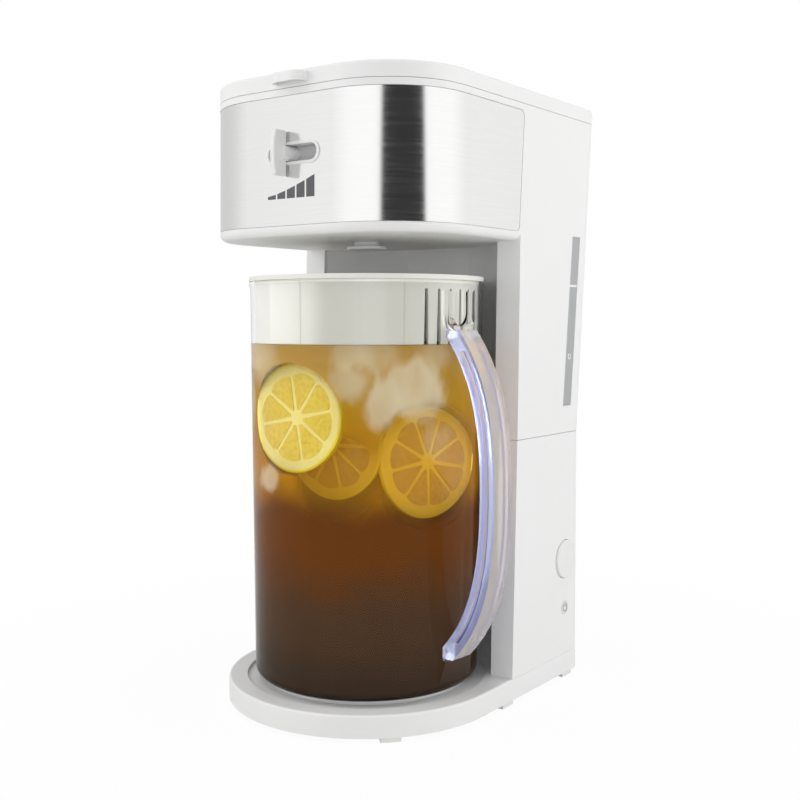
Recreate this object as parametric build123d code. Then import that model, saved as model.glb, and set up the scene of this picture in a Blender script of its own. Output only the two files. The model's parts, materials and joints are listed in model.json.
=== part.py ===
from build123d import *
import math
import os

# Cold brew coffee maker, in millimetres.
# While the pieces are made, the pitcher's axis is X = 0, Y = 0, the floor is Z = 0 and the front is -Y.
# At the end every piece is moved by one amount, so that the origin is the bottom centre of the whole.

os.makedirs("parts", exist_ok=True)

# General fits and gauges
shell_wall = 3.0
seam_gap = 0.3
seat_gap = 0.3
slip_gap = 0.05
moving_gap = 0.4
touch_gap = 0.1
cut_past = 1.0
cut_far = 10.0
screw_radius = 1.4
screw_hole_radius = 1.45
screw_head_radius = 3.0
screw_head_height = 1.8
boss_radius = 4.0

# Base
base_side_taper = 1.1
base_rear_y = 121.7
base_corner_radius = 6.0
base_top_z = 15.4
base_edge_radius = 1.5
floor_gap = 2.5
recess_edge = 11.3
recess_depth = 2.0
recess_ring_width = 13.0
pad_rise = 0.3
base_plate_thickness = 2.6
base_cover_thickness = 2.0
base_boss_inset = 26.3
base_boss_front_y = -30.0
base_boss_rear_y = 105.0
base_screw_bite = 5.0
base_cover_lift = 0.2
cover_slot_count = 6
cover_slot_length = 48.0
cover_slot_width = 3.0
cover_slot_pitch = 14.0
cover_slot_front_y = -20.0
foot_edge_gap = 0.3
foot_length = 12.0
foot_depth = 6.0
front_foot_angle = 47.0
side_foot_y = 29.7
rear_foot_y = 106.0

# Tower
lower_height = 146.4
tower_foot_front_y = 34.6
tower_top_front_y = 45.1
tower_top_rear_y = 144.8
tower_boss_inset = 10.3
tower_boss_front_y = 66.0
tower_boss_rear_y = 110.0
tower_boss_height = 14.0
tower_screw_short = 3.0
boss_rib_thickness = 3.0
niche_side_gap = 10.5
niche_back_gap = 6.5
niche_mouth_cut = 2.7

# Head
head_half_width = 87.4
head_front_y = -74.3
head_corner_radius = 53.7
head_room = 22.6
head_bottom_radius = 4.5
head_floor_thickness = 2.5
head_height = 85.6

# Steel band
band_low_margin = 5.8
band_high_margin = 4.4
band_thickness = 0.6
band_inset = 0.2
band_recess = 1.0
band_end_low_y = 41.3
band_end_high_y = 48.0
band_corner_radius = 4.0

# Strength selector
slot_x = 3.3
slot_rise = 4.0
slot_length = 40.8
slot_height = 13.3
bezel_proud = 0.7
bezel_lip = 0.9
bezel_wall = 0.8
bezel_depth = 6.2
shutter_gap = 1.4
lever_x = -2.1
lever_width = 3.4
lever_depth = 9.3
lever_height = 26.6
lever_front_y = -84.5
lever_bow = 1.5
lever_stem_radius = 4.6
lever_edge_radius = 0.9
lever_pin_radius = 2.5
shutter_thickness = 1.5
shutter_half_height = 7.0
shutter_left = 33.5
shutter_right = 34.0
rail_thickness = 2.0
rail_half_length = 34.0
clip_radius = 5.0
clip_thickness = 0.8
clip_mouth = 3.2
pin_past_clip = 1.5
stem_seat_gap = 0.1
rail_past_shutter = 1.0

# Top lid
lid_height = 9.8
lid_seam = 0.3
lid_plate = 2.2
lid_wall = 2.5
lid_edge_radius = 1.8
hinge_pin_radius = 1.5
hinge_pin_length = 22.0
ear_x = 58.0
ear_width = 8.0
ear_radius = 3.6
ear_root_drop = 8.0
hinge_running_gap = 0.02
pin_end_gap = 0.4
ear_notch_depth = 1.2
tab_x = 3.0
tab_width = 24.5
tab_reach = 8.0
tab_thickness = 6.0
tab_drop = 1.7
tab_skin = 1.4
tab_flat = 0.5
tab_edge_radius = 1.2

# Water tank and window
tank_wall = 2.0
tank_side_gap = 3.0
tank_rear_gap = 1.0
tank_corner_radius = 3.0
tank_front_y = 84.6
tank_shelf_height = 4.0
shelf_x = 20.0
shelf_thickness = 4.0
shelf_front_gap = 2.0
shelf_rear_gap = 6.0
tank_top_gap = 9.1
tank_outlet_y = 100.0
tank_stub_radius = 5.0
tank_stub_bore = 3.5
tank_stub_length = 13.5
window_rise = 17.6
window_height = 112.3
window_low_y = 98.3
window_width = 10.6
window_lean = 13.7
window_gap = 0.15
window_backing = 0.6
window_sink = 0.3

# Brewing
basket_bottom_radius = 38.0
basket_top_radius = 60.0
basket_flange_radius = 64.0
basket_top_gap = 19.1
basket_wall = 2.0
basket_neck_radius = 6.8
basket_neck_bore = 5.0
basket_neck_length = 5.2
outlet_radius = 8.0
outlet_bore = 5.0
outlet_flange_radius = 11.0
outlet_flange_height = 1.5
outlet_drop = 4.9
outlet_rim_radius = 12.6
outlet_rim_height = 2.2
outlet_edge_radius = 0.8
neck_end_gap = 0.4
neck_side_gap = 0.2
filter_gap = 1.5
filter_wall = 1.2
filter_base_lift = 3.0
filter_rim_radius = 61.5
filter_rim_height = 1.6
filter_window_count = 8
filter_window_height = 40.0
filter_window_share = 0.7
filter_window_past = 8.0
mesh_thickness = 0.3
mesh_gap = 0.1
mesh_floor_gap = 0.2
spreader_radius = 57.0
spreader_thickness = 1.7
spreader_rim = 1.2
spreader_rim_width = 2.0
spreader_rim_root = 0.5
spreader_hole_radius = 1.5
spreader_ring_count = 3
spreader_first_ring = 15.0
spreader_ring_step = 13.0
spreader_holes_per_ring = 6

# Heating and pipes
pipe_radius = 4.5
pipe_bore = 3.3
hose_wall = 1.7
heater_side_gap = 1.2
heater_rise = 24.6
heater_leg = 40.0
heater_bend = 18.0
element_radius = 4.0
element_pin_radius = 1.0
element_pin_length = 4.0
saddle_x = 18.0
saddle_width = 6.0
saddle_depth = 16.0
saddle_rise = 7.0
saddle_throat = 3.0
riser_x = 62.0
riser_y = 73.0
riser_shift_rise = 28.0
riser_shift_drop = 13.8
riser_bend = 26.0
riser_top_gap = 18.1
sleeve_overlap = 10.0
spout_top_gap = 7.1
spout_bend = 9.0
spout_end_x = 20.0
spout_end_y = 24.0
spout_nose = 4.0
clamp_thickness = 1.0
clamp_height = 5.0
clamp_inset = 2.0
valve_radius = 8.0
valve_grip = 7.5
valve_stub_gap = 1.2
valve_ledge = 1.0
pipe_hole_gap = 1.0
valve_chamber_radius = 5.0
valve_chamber_height = 10.0
valve_floor = 5.0
valve_nipple_length = 8.0
ball_radius = 4.0
ball_seat_radius = 2.8
ball_rest_gap = 0.1
thermostat_radius = 8.0
thermostat_height = 6.0
blade_thickness = 0.8
blade_width = 4.8
blade_height = 6.0
blade_offset = 3.5
fuse_radius = 2.0
fuse_length = 10.0

# Switch and lamp
button_y = 102.0
button_rise = 62.8
button_radius = 12.4
button_proud = 1.6
button_flange = 1.6
button_flange_height = 1.6
button_stem_radius = 4.0
button_travel = 2.0
button_edge_radius = 0.8
button_rest_gap = 0.4
button_stem_length = 1.2
stem_rest_gap = 0.3
switch_length = 18.0
switch_width = 14.0
switch_rail_thickness = 2.0
switch_rail_width = 16.0
switch_margin = 1.6
switch_blade_length = 7.0
switch_blade_offset = 5.0
wall_cut_reach = 8.0
lamp_drop = 32.2
lens_radius = 4.4
lens_proud = 0.3
lens_flange_radius = 6.0
lens_flange = 1.2
lens_side_gap = 0.1
lamp_end_gap = 0.2
lamp_radius = 2.5
lamp_length = 11.0
block_length = 24.0
block_depth = 13.0
block_height = 12.0
block_x = -54.0
block_y = 83.5
block_hole_radius = 2.2
block_hole_pitch = 8.0
block_hole_depth = 4.0
wire_radius = 1.1
wire_bend = 2.5
wire_lead = 6.5
wire_sweep = 14.0
wire_front = 2.0
wire_back = 3.5
wire_tail = 5.0

# Rear panel and cord gland
panel_width = 120.0
panel_height = 104.0
panel_thickness = 2.4
panel_sink = 0.3
panel_seat_gap = 0.2
panel_rim = 3.0
panel_screw_head = 1.1
panel_screw_length = 6.5
panel_screw_inset = 4.0
panel_ledge = 4.0
panel_frame = 3.0
panel_low_rise = 16.6
vent_count = 8
vent_length = 44.0
vent_bridge = 5.3
vent_height = 3.0
vent_pitch = 7.0
vent_rise = 46.0
gland_inset = 16.0
gland_rise = 15.0
gland_radius = 6.0
gland_bore = 3.6
gland_flange_radius = 8.5
gland_flange = 2.6
gland_nut_radius = 7.3
gland_nut_height = 1.6
gland_inner_length = 4.5

# Pitcher
pitcher_low_rise = 19.0
pitcher_low_radius = 70.1
pitcher_height = 243.8
pitcher_rim_radius = 73.5
rim_bead_proud = 0.7
rim_bead_height = 2.7
pitcher_wall = 2.2
pitcher_floor = 3.0
pitcher_foot_radius = 6.0
spout_reach = 9.0
spout_height = 28.0
spout_width_radius = 14.0
spout_tip_radius = 2.0
handle_turn = 6.0
handle_width = 16.4
handle_top_drop = 29.6
handle_bottom_rise = 21.5
handle_outer_reach = 107.6
handle_thickness = 10.2
handle_top_proud = 9.2
handle_bottom_proud = 6.8
handle_top_slant = 1.3
handle_bottom_slant = 1.4
handle_knee_height = 0.7
handle_knee_reach = 0.65
handle_groove_depth = 2.4
handle_groove_width = 2.4
handle_groove_top_gap = 12.0
handle_groove_low_gap = 10.0
mount_width = 24.6
mount_proud = 4.8
mount_height = 22.8
mount_pocket_width = 19.0
mount_pocket_lift = 2.0
mount_corner_radius = 8.0
mount_root = 10.0
mount_gap = 0.15
lower_mount_height = 14.6
lower_mount_taper = 5.0
lower_mount_proud = 5.4

# Pitcher lid
plid_gap = 0.3
plid_thickness = 2.8
skirt_gap = 0.5
skirt_thickness = 1.8
skirt_depth = 38.1
pour_gap_top = 3.0
comb_count = 7
comb_pitch = 7.4
comb_middle = 89.3
comb_slot_top_width = 2.0
comb_slot_low_width = 3.2
comb_top_gap = 5.4
skirt_rib_turns = (-85.4, -55.3, -34.0)
skirt_rib_width = 0.9
skirt_rib_proud = 0.3
pour_gap_width = 34.0
dish_radius = 32.0
dish_depth = 6.0
dish_slant = 2.0
drip_hole_radius = 13.0

# Derived widths
pitcher_lip_radius = pitcher_rim_radius + rim_bead_proud
base_half_width = head_half_width - base_side_taper
recess_radius = base_half_width - recess_edge
pad_radius = recess_radius - recess_ring_width
base_boss_x = base_half_width - base_boss_inset
tower_boss_x = base_half_width - tower_boss_inset
niche_radius = pitcher_rim_radius + niche_side_gap
niche_back_y = pitcher_rim_radius + niche_back_gap
niche_half_width = pitcher_rim_radius - niche_mouth_cut

# Derived heights and places
tower_foot_z = base_top_z
split_z = base_top_z + lower_height
pitcher_bottom_z = base_top_z + pad_rise + seat_gap
pitcher_low_z = pitcher_bottom_z + pitcher_low_rise
pitcher_rim_z = pitcher_bottom_z + pitcher_height
plid_low_z = pitcher_rim_z + plid_gap
plid_top_z = plid_low_z + plid_thickness
skirt_low_z = plid_low_z - skirt_depth
comb_top_z = plid_low_z - comb_top_gap
handle_top_z = pitcher_rim_z - handle_top_drop
handle_bottom_z = pitcher_bottom_z + handle_bottom_rise
mount_top_z = handle_top_z + mount_height
lower_mount_z = handle_bottom_z - mount_gap - lower_mount_height
head_bottom_z = plid_top_z + head_room
housing_top_z = head_bottom_z + head_height
band_low_z = head_bottom_z + band_low_margin
band_high_z = housing_top_z - band_high_margin
slot_z = (band_low_z + band_high_z) / 2 + slot_rise
tank_top_z = housing_top_z - tank_top_gap
basket_top_z = housing_top_z - basket_top_gap
heater_z = base_top_z + heater_rise
heater_end_z = heater_z + heater_leg
riser_shift_low_z = heater_end_z + riser_shift_rise
riser_shift_high_z = split_z - riser_shift_drop
riser_top_z = housing_top_z - riser_top_gap
spout_z = housing_top_z - spout_top_gap
spout_end_z = spout_z - spout_nose
panel_mid_z = base_top_z + panel_low_rise + panel_height / 2
vent_low_z = panel_mid_z - panel_height / 2 + vent_rise
gland_x = gland_inset - panel_width / 2
gland_z = panel_mid_z - panel_height / 2 + gland_rise
button_z = base_top_z + button_rise
lamp_z = button_z - lamp_drop
upper_low_z = split_z + seam_gap
window_low_z = upper_low_z + window_rise
window_high_z = window_low_z + window_height
floor_top_z = upper_low_z + shell_wall
head_floor_z = head_bottom_z + head_floor_thickness
tank_bottom_z = floor_top_z + tank_shelf_height
pipe_sleeve_radius = pipe_radius + slip_gap
hose_radius = pipe_sleeve_radius + hose_wall
clamp_radius = hose_radius + slip_gap + clamp_thickness
lid_low_z = housing_top_z + lid_seam
lid_top_z = lid_low_z + lid_height
hinge_radius = (lid_top_z - lid_low_z) / 2
hinge_y = tower_top_rear_y - hinge_radius
hinge_z = lid_low_z + hinge_radius
band_front_y = head_front_y + band_inset
shutter_front_y = band_front_y + bezel_depth + shutter_gap
shutter_rear_y = shutter_front_y + shutter_thickness
stem_end_y = shutter_front_y - stem_seat_gap
panel_outer_y = base_rear_y - panel_sink
gland_inner_y = panel_outer_y - panel_thickness - gland_inner_length


def between(low, high, share):
    """Value part of the way from one number to another."""
    return low + (high - low) * share


def tower_half_width(z):
    """Outer half width of the tower: it widens from the base to the split, then stays."""
    share = (min(z, split_z) - tower_foot_z) / (split_z - tower_foot_z)
    return between(base_half_width, head_half_width, share)


def tower_front_y(z):
    """Front face of the tower, which leans back."""
    return between(tower_foot_front_y, tower_top_front_y, (z - tower_foot_z) / (housing_top_z - tower_foot_z))


def tower_rear_y(z):
    """Rear face of the tower: upright below the split, leaning out above it."""
    share = max(0.0, (z - upper_low_z) / (housing_top_z - upper_low_z))
    return between(base_rear_y, tower_top_rear_y, share)


def pitcher_radius(z):
    """Outer radius of the pitcher's tapered wall."""
    slope = (pitcher_rim_radius - pitcher_low_radius) / (pitcher_rim_z - pitcher_low_z)
    return pitcher_low_radius + slope * (z - pitcher_low_z)


def prism(plan, low_z, high_z):
    """A plan sketch made solid between two heights."""
    return extrude(Pos(0, 0, low_z) * plan, high_z - low_z)


def block(x_range, y_range, z_range):
    """A box between two limits on each axis."""
    size = [high - low for low, high in (x_range, y_range, z_range)]
    middle = [(high + low) / 2 for low, high in (x_range, y_range, z_range)]
    return Pos(*middle) * Box(*size)


def rod_z(x, y, radius, low_z, high_z):
    """An upright cylinder."""
    return Pos(x, y, (low_z + high_z) / 2) * Cylinder(radius, high_z - low_z)


def rod_y(x, z, radius, low_y, high_y):
    """A cylinder from front to rear."""
    return Pos(x, (low_y + high_y) / 2, z) * Rot(90, 0, 0) * Cylinder(radius, high_y - low_y)


def rod_x(y, z, radius, low_x, high_x):
    """A cylinder from left to right."""
    return Pos((low_x + high_x) / 2, y, z) * Rot(0, 90, 0) * Cylinder(radius, high_x - low_x)


def tube_z(x, y, radius, bore, low_z, high_z):
    """An upright tube."""
    return rod_z(x, y, radius, low_z, high_z) - rod_z(x, y, bore, low_z - cut_past, high_z + cut_past)


def turned(points):
    """A solid of revolution about the pitcher's axis, from (radius, height) points."""
    outline = Plane.XZ * make_face(Polyline(*points, close=True))
    return revolve(outline, Axis.Z)


def pipe_along(points, bends, radius, bore=0.0):
    """A pipe along straight runs joined by tangent arcs."""
    path = FilletPolyline(*points, radius=bends)
    start = Plane(origin=path @ 0, z_dir=path % 0)
    pipe = sweep(start * Circle(radius), path=path)
    if bore:
        pipe = pipe - sweep(start * Circle(bore), path=path)
    return pipe


def obround_y(x, z, length, height, low_y, high_y):
    """A round-ended bar from front to rear, long along X."""
    plan = Plane(origin=(x, low_y, z), x_dir=(1, 0, 0), z_dir=(0, 1, 0)) * SlotOverall(length, height)
    return extrude(plan, high_y - low_y)


def rounded_plan(half_width, front_y, rear_y, front_radius, rear_radius):
    """A rectangle in plan with its own corner radius at the front and at the rear."""
    plan = Pos(0, (front_y + rear_y) / 2) * Rectangle(2 * half_width, rear_y - front_y)
    if front_radius:
        plan = fillet(plan.vertices().group_by(Axis.Y)[0], front_radius)
    if rear_radius:
        plan = fillet(plan.vertices().group_by(Axis.Y)[-1], rear_radius)
    return plan


def screw_up(x, y, head_z, length):
    """A screw driven upwards: its head starts at head_z."""
    head = rod_z(x, y, screw_head_radius, head_z, head_z + screw_head_height)
    return head + rod_z(x, y, screw_radius, head_z + screw_head_height, head_z + screw_head_height + length)


# Base and feet

def base_plan(inset):
    """Plan of the base: a half circle in front, straight sides, small rear corners."""
    half = base_half_width - inset
    rear = base_rear_y - inset
    square = rounded_plan(half, 0, rear, 0, base_corner_radius - inset)
    return square + Circle(half)


base_cavity_top_z = base_top_z - recess_depth - base_plate_thickness
base_cover_low_z = floor_gap + base_cover_lift
base_cover_top_z = base_cover_low_z + base_cover_thickness
base_boss_ys = (base_boss_front_y, base_boss_rear_y)
base_screw_places = [(sign * base_boss_x, y) for sign in (-1, 1) for y in base_boss_ys]
tower_boss_ys = (tower_boss_front_y, tower_boss_rear_y)
tower_screw_places = [(sign * tower_boss_x, y) for sign in (-1, 1) for y in tower_boss_ys]


def make_base():
    body = prism(base_plan(0), floor_gap, base_top_z)
    body = fillet(body.faces().sort_by(Axis.Z)[-1].edges(), base_edge_radius)
    body -= prism(base_plan(shell_wall), floor_gap - cut_past, base_cavity_top_z)
    ring = Circle(recess_radius) - Circle(pad_radius)
    body -= prism(ring, base_top_z - recess_depth, base_top_z + cut_past)
    body += rod_z(0, 0, pad_radius, base_top_z - recess_depth, base_top_z + pad_rise)
    for x, y in base_screw_places:
        body += tube_z(x, y, boss_radius, screw_hole_radius, base_cover_top_z, base_cavity_top_z)
    for x, y in tower_screw_places:
        body -= rod_z(x, y, screw_radius + moving_gap, base_cavity_top_z - cut_past, base_top_z + cut_past)
    return body


def make_base_cover():
    cover = prism(base_plan(shell_wall + seat_gap), base_cover_low_z, base_cover_top_z)
    low_z, high_z = base_cover_low_z - cut_past, base_cover_top_z + cut_past
    for x, y in base_screw_places:
        cover -= rod_z(x, y, screw_radius + moving_gap, low_z, high_z)
    half_length, half_width = cover_slot_length / 2, cover_slot_width / 2
    for row in range(cover_slot_count):
        y = cover_slot_front_y + cover_slot_pitch * row
        cover -= block((-half_length, half_length), (y - half_width, y + half_width), (low_z, high_z))
    return cover


def make_base_screws():
    return Compound(children=[
        screw_up(x, y, base_cover_low_z - screw_head_height, base_cover_thickness + base_screw_bite)
        for x, y in base_screw_places
    ])


def make_feet():
    outer = base_half_width - foot_edge_gap
    side = block((outer - foot_depth, outer), (-foot_length / 2, foot_length / 2), (0, floor_gap))
    half_angle = math.degrees(foot_length / 2 / outer)
    ring = prism(Circle(outer) - Circle(outer - foot_depth), 0, floor_gap)
    wedge_reach = 2 * outer
    half_opening = wedge_reach * math.tan(math.radians(half_angle))
    corners = [(0, 0), (wedge_reach, -half_opening), (wedge_reach, half_opening)]
    curved = ring & prism(make_face(Polyline(*corners, close=True)), 0, floor_gap)
    feet = []
    for sign in (1, -1):
        turn = front_foot_angle - 90 if sign > 0 else -90 - front_foot_angle
        feet.append(Rot(0, 0, turn) * curved)
        mirrored = Rot(0, 0, 0 if sign > 0 else 180) * side
        feet.append(Pos(0, side_foot_y, 0) * mirrored)
        feet.append(Pos(0, rear_foot_y, 0) * mirrored)
    return Compound(children=feet)


# Tower and head shells

def tower_block(low_z, high_z, inset=0.0):
    """The tower as a solid between two heights, drawn in by an inset on every upright face."""
    plans = []
    for z in (low_z, high_z):
        plan = rounded_plan(tower_half_width(z) - inset, tower_front_y(z) + inset, tower_rear_y(z) - inset,
                            0, base_corner_radius - inset)
        plans.append(Pos(0, 0, z) * plan)
    return loft(plans, ruled=True)


def niche(low_z, high_z, grow=0.0):
    """The hollow in the tower's front that the pitcher stands in."""
    half = niche_half_width + grow
    window = Pos(0, (niche_back_y + grow) / 2) * Rectangle(2 * half, niche_back_y + grow)
    plan = Circle(niche_radius + grow) & window
    return prism(plan, low_z, high_z)


def make_lower_housing():
    body = tower_block(tower_foot_z, split_z) - niche(tower_foot_z - cut_past, split_z + cut_past)
    hollow = tower_block(tower_foot_z, split_z, shell_wall)
    body -= hollow - niche(tower_foot_z - cut_past, split_z + cut_past, shell_wall)
    rear_inner = base_rear_y - shell_wall
    frame_depth = rear_inner - panel_frame
    seat_y = panel_outer_y - panel_thickness - panel_seat_gap
    body += panel_block(panel_rim, frame_depth, rear_inner)
    body -= panel_block(0, seat_y, base_rear_y + cut_past)
    body -= panel_block(-panel_ledge, frame_depth - cut_past, base_rear_y + cut_past)
    for x, z in panel_screw_places():
        body += rod_y(x, z, boss_radius, frame_depth, seat_y)
        body -= rod_y(x, z, screw_hole_radius, frame_depth - cut_past, base_rear_y + cut_past)
    for x, y in tower_screw_places:
        body += tower_boss(x, y, tower_foot_z, tower_foot_z + tower_boss_height)
        body += tower_boss(x, y, split_z - tower_boss_height, split_z)
        for low_z in (tower_foot_z, split_z - tower_boss_height):
            body -= rod_z(x, y, screw_hole_radius, low_z - cut_past, low_z + tower_boss_height + cut_past)
    wall_x = tower_half_width(button_z)
    for z, radius in ((button_z, button_radius + seat_gap), (lamp_z, lens_radius + lens_side_gap)):
        body -= rod_x(button_y, z, radius, wall_x - wall_cut_reach, wall_x + wall_cut_reach)
    for sign in (1, -1):
        near = button_z + sign * switch_half_height
        far = near + sign * switch_rail_thickness
        body += block((switch_inner_x, wall_x - shell_wall / 2),
                      (button_y - switch_rail_width / 2, button_y + switch_rail_width / 2),
                      (min(near, far), max(near, far)))
    return body


def panel_block(grow, low_y, high_y):
    """The rear panel's rectangle, grown at every edge, between two Y limits."""
    half_width, half_height = panel_width / 2 + grow, panel_height / 2 + grow
    heights = (panel_mid_z - half_height, panel_mid_z + half_height)
    return block((-half_width, half_width), (low_y, high_y), heights)


def tower_boss(x, y, low_z, high_z):
    """A screw boss with a rib to the side wall."""
    reach = tower_half_width(low_z) - shell_wall / 2
    near, far = sorted((abs(x), reach))
    half = boss_rib_thickness / 2
    rib = block((near, far), (y - half, y + half), (low_z, high_z))
    if x < 0:
        rib = Rot(0, 0, 180) * Pos(0, -2 * y, 0) * rib
    return rod_z(x, y, boss_radius, low_z, high_z) + rib


def panel_screw_places():
    """Places of the rear panel's screws, as (x, z)."""
    x, z = panel_width / 2 - panel_screw_inset, panel_height / 2 - panel_screw_inset
    return [(sx * x, panel_mid_z + sz * z) for sx in (-1, 1) for sz in (-1, 1)]


button_inner_x = tower_half_width(button_z) - shell_wall
switch_half_height = button_radius + button_flange + switch_margin
button_flange_x = button_inner_x - button_rest_gap
button_stem_x = button_flange_x - button_flange_height - button_stem_length
switch_outer_x = button_stem_x - button_travel - stem_rest_gap
switch_inner_x = switch_outer_x - switch_length
switch_tip_x = switch_inner_x - switch_blade_length
heater_x = switch_tip_x - heater_side_gap - clamp_radius
tank_outlet_x = -heater_x


def make_rear_panel():
    low_y, high_y = panel_outer_y - cut_far, panel_outer_y + cut_past
    panel = panel_block(-seat_gap, panel_outer_y - panel_thickness, panel_outer_y)
    for x, z in panel_screw_places():
        panel -= rod_y(x, z, screw_radius + moving_gap, low_y, high_y)
    vent_x = (vent_length + vent_bridge) / 2
    for row in range(vent_count):
        z = vent_low_z + row * vent_pitch
        for side in (-1, 1):
            panel -= obround_y(side * vent_x, z, vent_length, vent_height, low_y, high_y)
    return panel - rod_y(gland_x, gland_z, gland_radius + slip_gap, low_y, high_y)


def make_rear_screws():
    screws = []
    for x, z in panel_screw_places():
        head = rod_y(x, z, screw_head_radius, panel_outer_y, panel_outer_y + panel_screw_head)
        screws.append(head + rod_y(x, z, screw_radius, panel_outer_y - panel_screw_length, panel_outer_y))
    return Compound(children=screws)


def make_cord_gland():
    gland = rod_y(gland_x, gland_z, gland_radius, gland_inner_y, panel_outer_y)
    gland += rod_y(gland_x, gland_z, gland_flange_radius, panel_outer_y, panel_outer_y + gland_flange)
    nut_y = panel_outer_y - panel_thickness - slip_gap
    gland += rod_y(gland_x, gland_z, gland_nut_radius, nut_y - gland_nut_height, nut_y)
    return gland - rod_y(gland_x, gland_z, gland_bore, gland_inner_y - cut_past, panel_outer_y + cut_far)


def head_plan(inset=0.0, rear_y=None):
    """Plan of the head: nearly flat front, large front corners, straight sides."""
    rear = niche_back_y + shell_wall + cut_past if rear_y is None else rear_y
    return rounded_plan(head_half_width - inset, head_front_y + inset, rear, head_corner_radius - inset, 0)


def band_region(outer_inset, inner_inset, grow):
    """The wrap-round strip on the head, between two insets; grow enlarges it at every edge."""
    low_z, high_z = band_low_z - grow, band_high_z + grow
    rear, front = band_end_high_y + cut_far, head_front_y - cut_far
    strip = prism(head_plan(outer_inset, rear) - head_plan(inner_inset, rear + cut_past), low_z, high_z)
    end_low, end_high = band_end_low_y + grow, band_end_high_y + grow
    corners = [(front, low_z), (end_low, low_z), (end_high, high_z), (front, high_z)]
    side = Plane.YZ * make_face(Polyline(*corners, close=True))
    ends = side.vertices().group_by(Axis.Y)
    side = fillet(ShapeList(ends[-1] + ends[-2]), band_corner_radius)
    return strip & extrude(side, head_half_width + cut_far, both=True)


def selector_hole(low_y, high_y, gap=0.0):
    """Round-ended hole that the selector's bezel passes through."""
    change = 2 * (gap - bezel_lip)
    return obround_y(slot_x, slot_z, slot_length + change, slot_height + change, low_y, high_y)


def make_upper_housing():
    tower = tower_block(upper_low_z, housing_top_z) - niche(upper_low_z - cut_past, head_bottom_z)
    head = prism(head_plan(), head_bottom_z, housing_top_z)
    bottom_edges = head.faces().sort_by(Axis.Z)[0].edges()
    head = fillet(bottom_edges.filter_by(lambda edge: edge.center().Y < niche_back_y), head_bottom_radius)
    body = tower + head
    hollow = tower_block(floor_top_z, housing_top_z + cut_past, shell_wall)
    hollow -= niche(floor_top_z - cut_past, head_floor_z, shell_wall)
    hollow += prism(head_plan(shell_wall, niche_back_y + shell_wall + 2 * cut_past), head_floor_z,
                    housing_top_z + cut_past)
    body -= hollow
    body -= band_region(-cut_past, band_recess, seam_gap)
    body -= selector_hole(head_front_y - cut_far, head_front_y + cut_far, slip_gap)
    body -= rod_z(0, 0, outlet_radius + slip_gap, head_bottom_z - cut_past, head_floor_z + cut_past)
    floor_holes = [(tank_outlet_x, tank_outlet_y, valve_radius + pipe_hole_gap),
                   (riser_x, riser_y, hose_radius + pipe_hole_gap)]
    floor_holes += [(x, y, screw_radius + moving_gap) for x, y in tower_screw_places]
    for x, y, radius in floor_holes:
        body -= rod_z(x, y, radius, upper_low_z - cut_past, floor_top_z + cut_past)
    for sign in (-1, 1):
        shelf_low, shelf_high = sign * shelf_x - shelf_thickness / 2, sign * shelf_x + shelf_thickness / 2
        body += block((shelf_low, shelf_high), (tank_front_y + shelf_front_gap, base_rear_y - shelf_rear_gap),
                      (floor_top_z, tank_bottom_z - seat_gap))
        ear_low, ear_high = sign * ear_x - ear_width / 2, sign * ear_x + ear_width / 2
        body += block((ear_low, ear_high), (hinge_y - ear_radius, hinge_y + ear_radius),
                      (housing_top_z - ear_root_drop, hinge_z))
        body += rod_x(hinge_y, hinge_z, ear_radius, ear_low, ear_high)
        bore = hinge_pin_radius + hinge_running_gap
        body -= rod_x(hinge_y, hinge_z, bore, ear_low - cut_past, ear_high + cut_past)
        near = slot_z + sign * (shutter_half_height + seat_gap)
        far = near + sign * rail_thickness
        body += block((-rail_half_length + slot_x, rail_half_length - slot_x),
                      (head_front_y + shell_wall / 2, shutter_rear_y + rail_past_shutter),
                      (min(near, far), max(near, far)))
    body -= window_bar(window_gap, head_half_width - shell_wall - cut_past, head_half_width + cut_past)
    return body


def window_bar(grow, low_x, high_x):
    """The leaning window strip on the right side, as a bar between two X limits."""
    low_z, high_z = window_low_z - grow, window_high_z + grow
    lean = window_lean / (window_high_z - window_low_z)
    start = window_low_y - lean * grow
    finish = window_low_y + window_lean + lean * grow
    outline = Polyline((start - grow, low_z), (start + window_width + grow, low_z),
                       (finish + window_width + grow, high_z), (finish - grow, high_z), close=True)
    return Pos(low_x, 0, 0) * extrude(Plane.YZ * make_face(outline), high_x - low_x)


def make_water_window():
    return window_bar(0.0, head_half_width - shell_wall - window_backing, head_half_width - window_sink)


def make_tower_screws():
    length = base_plate_thickness + recess_depth + tower_boss_height - tower_screw_short
    return Compound(children=[
        screw_up(x, y, base_cavity_top_z - screw_head_height, length) for x, y in tower_screw_places
    ])


def make_housing_screws():
    length = shell_wall + seam_gap + tower_boss_height - tower_screw_short
    screws = []
    for x, y in tower_screw_places:
        head = rod_z(x, y, screw_head_radius, floor_top_z, floor_top_z + screw_head_height)
        screws.append(head + rod_z(x, y, screw_radius, floor_top_z - length, floor_top_z))
    return Compound(children=screws)


def make_steel_band():
    band = band_region(band_inset, band_inset + band_thickness, 0.0)
    return band - selector_hole(head_front_y - cut_far, head_front_y + cut_far, slip_gap)


# Strength selector

def make_slot_bezel():
    rim = obround_y(slot_x, slot_z, slot_length, slot_height, band_front_y - bezel_proud, band_front_y)
    tube = selector_hole(band_front_y, band_front_y + bezel_depth)
    cut = bezel_lip + bezel_wall
    bore = obround_y(slot_x, slot_z, slot_length - 2 * cut, slot_height - 2 * cut,
                     band_front_y - cut_far, band_front_y + bezel_depth + cut_past)
    return rim + tube - bore


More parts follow.
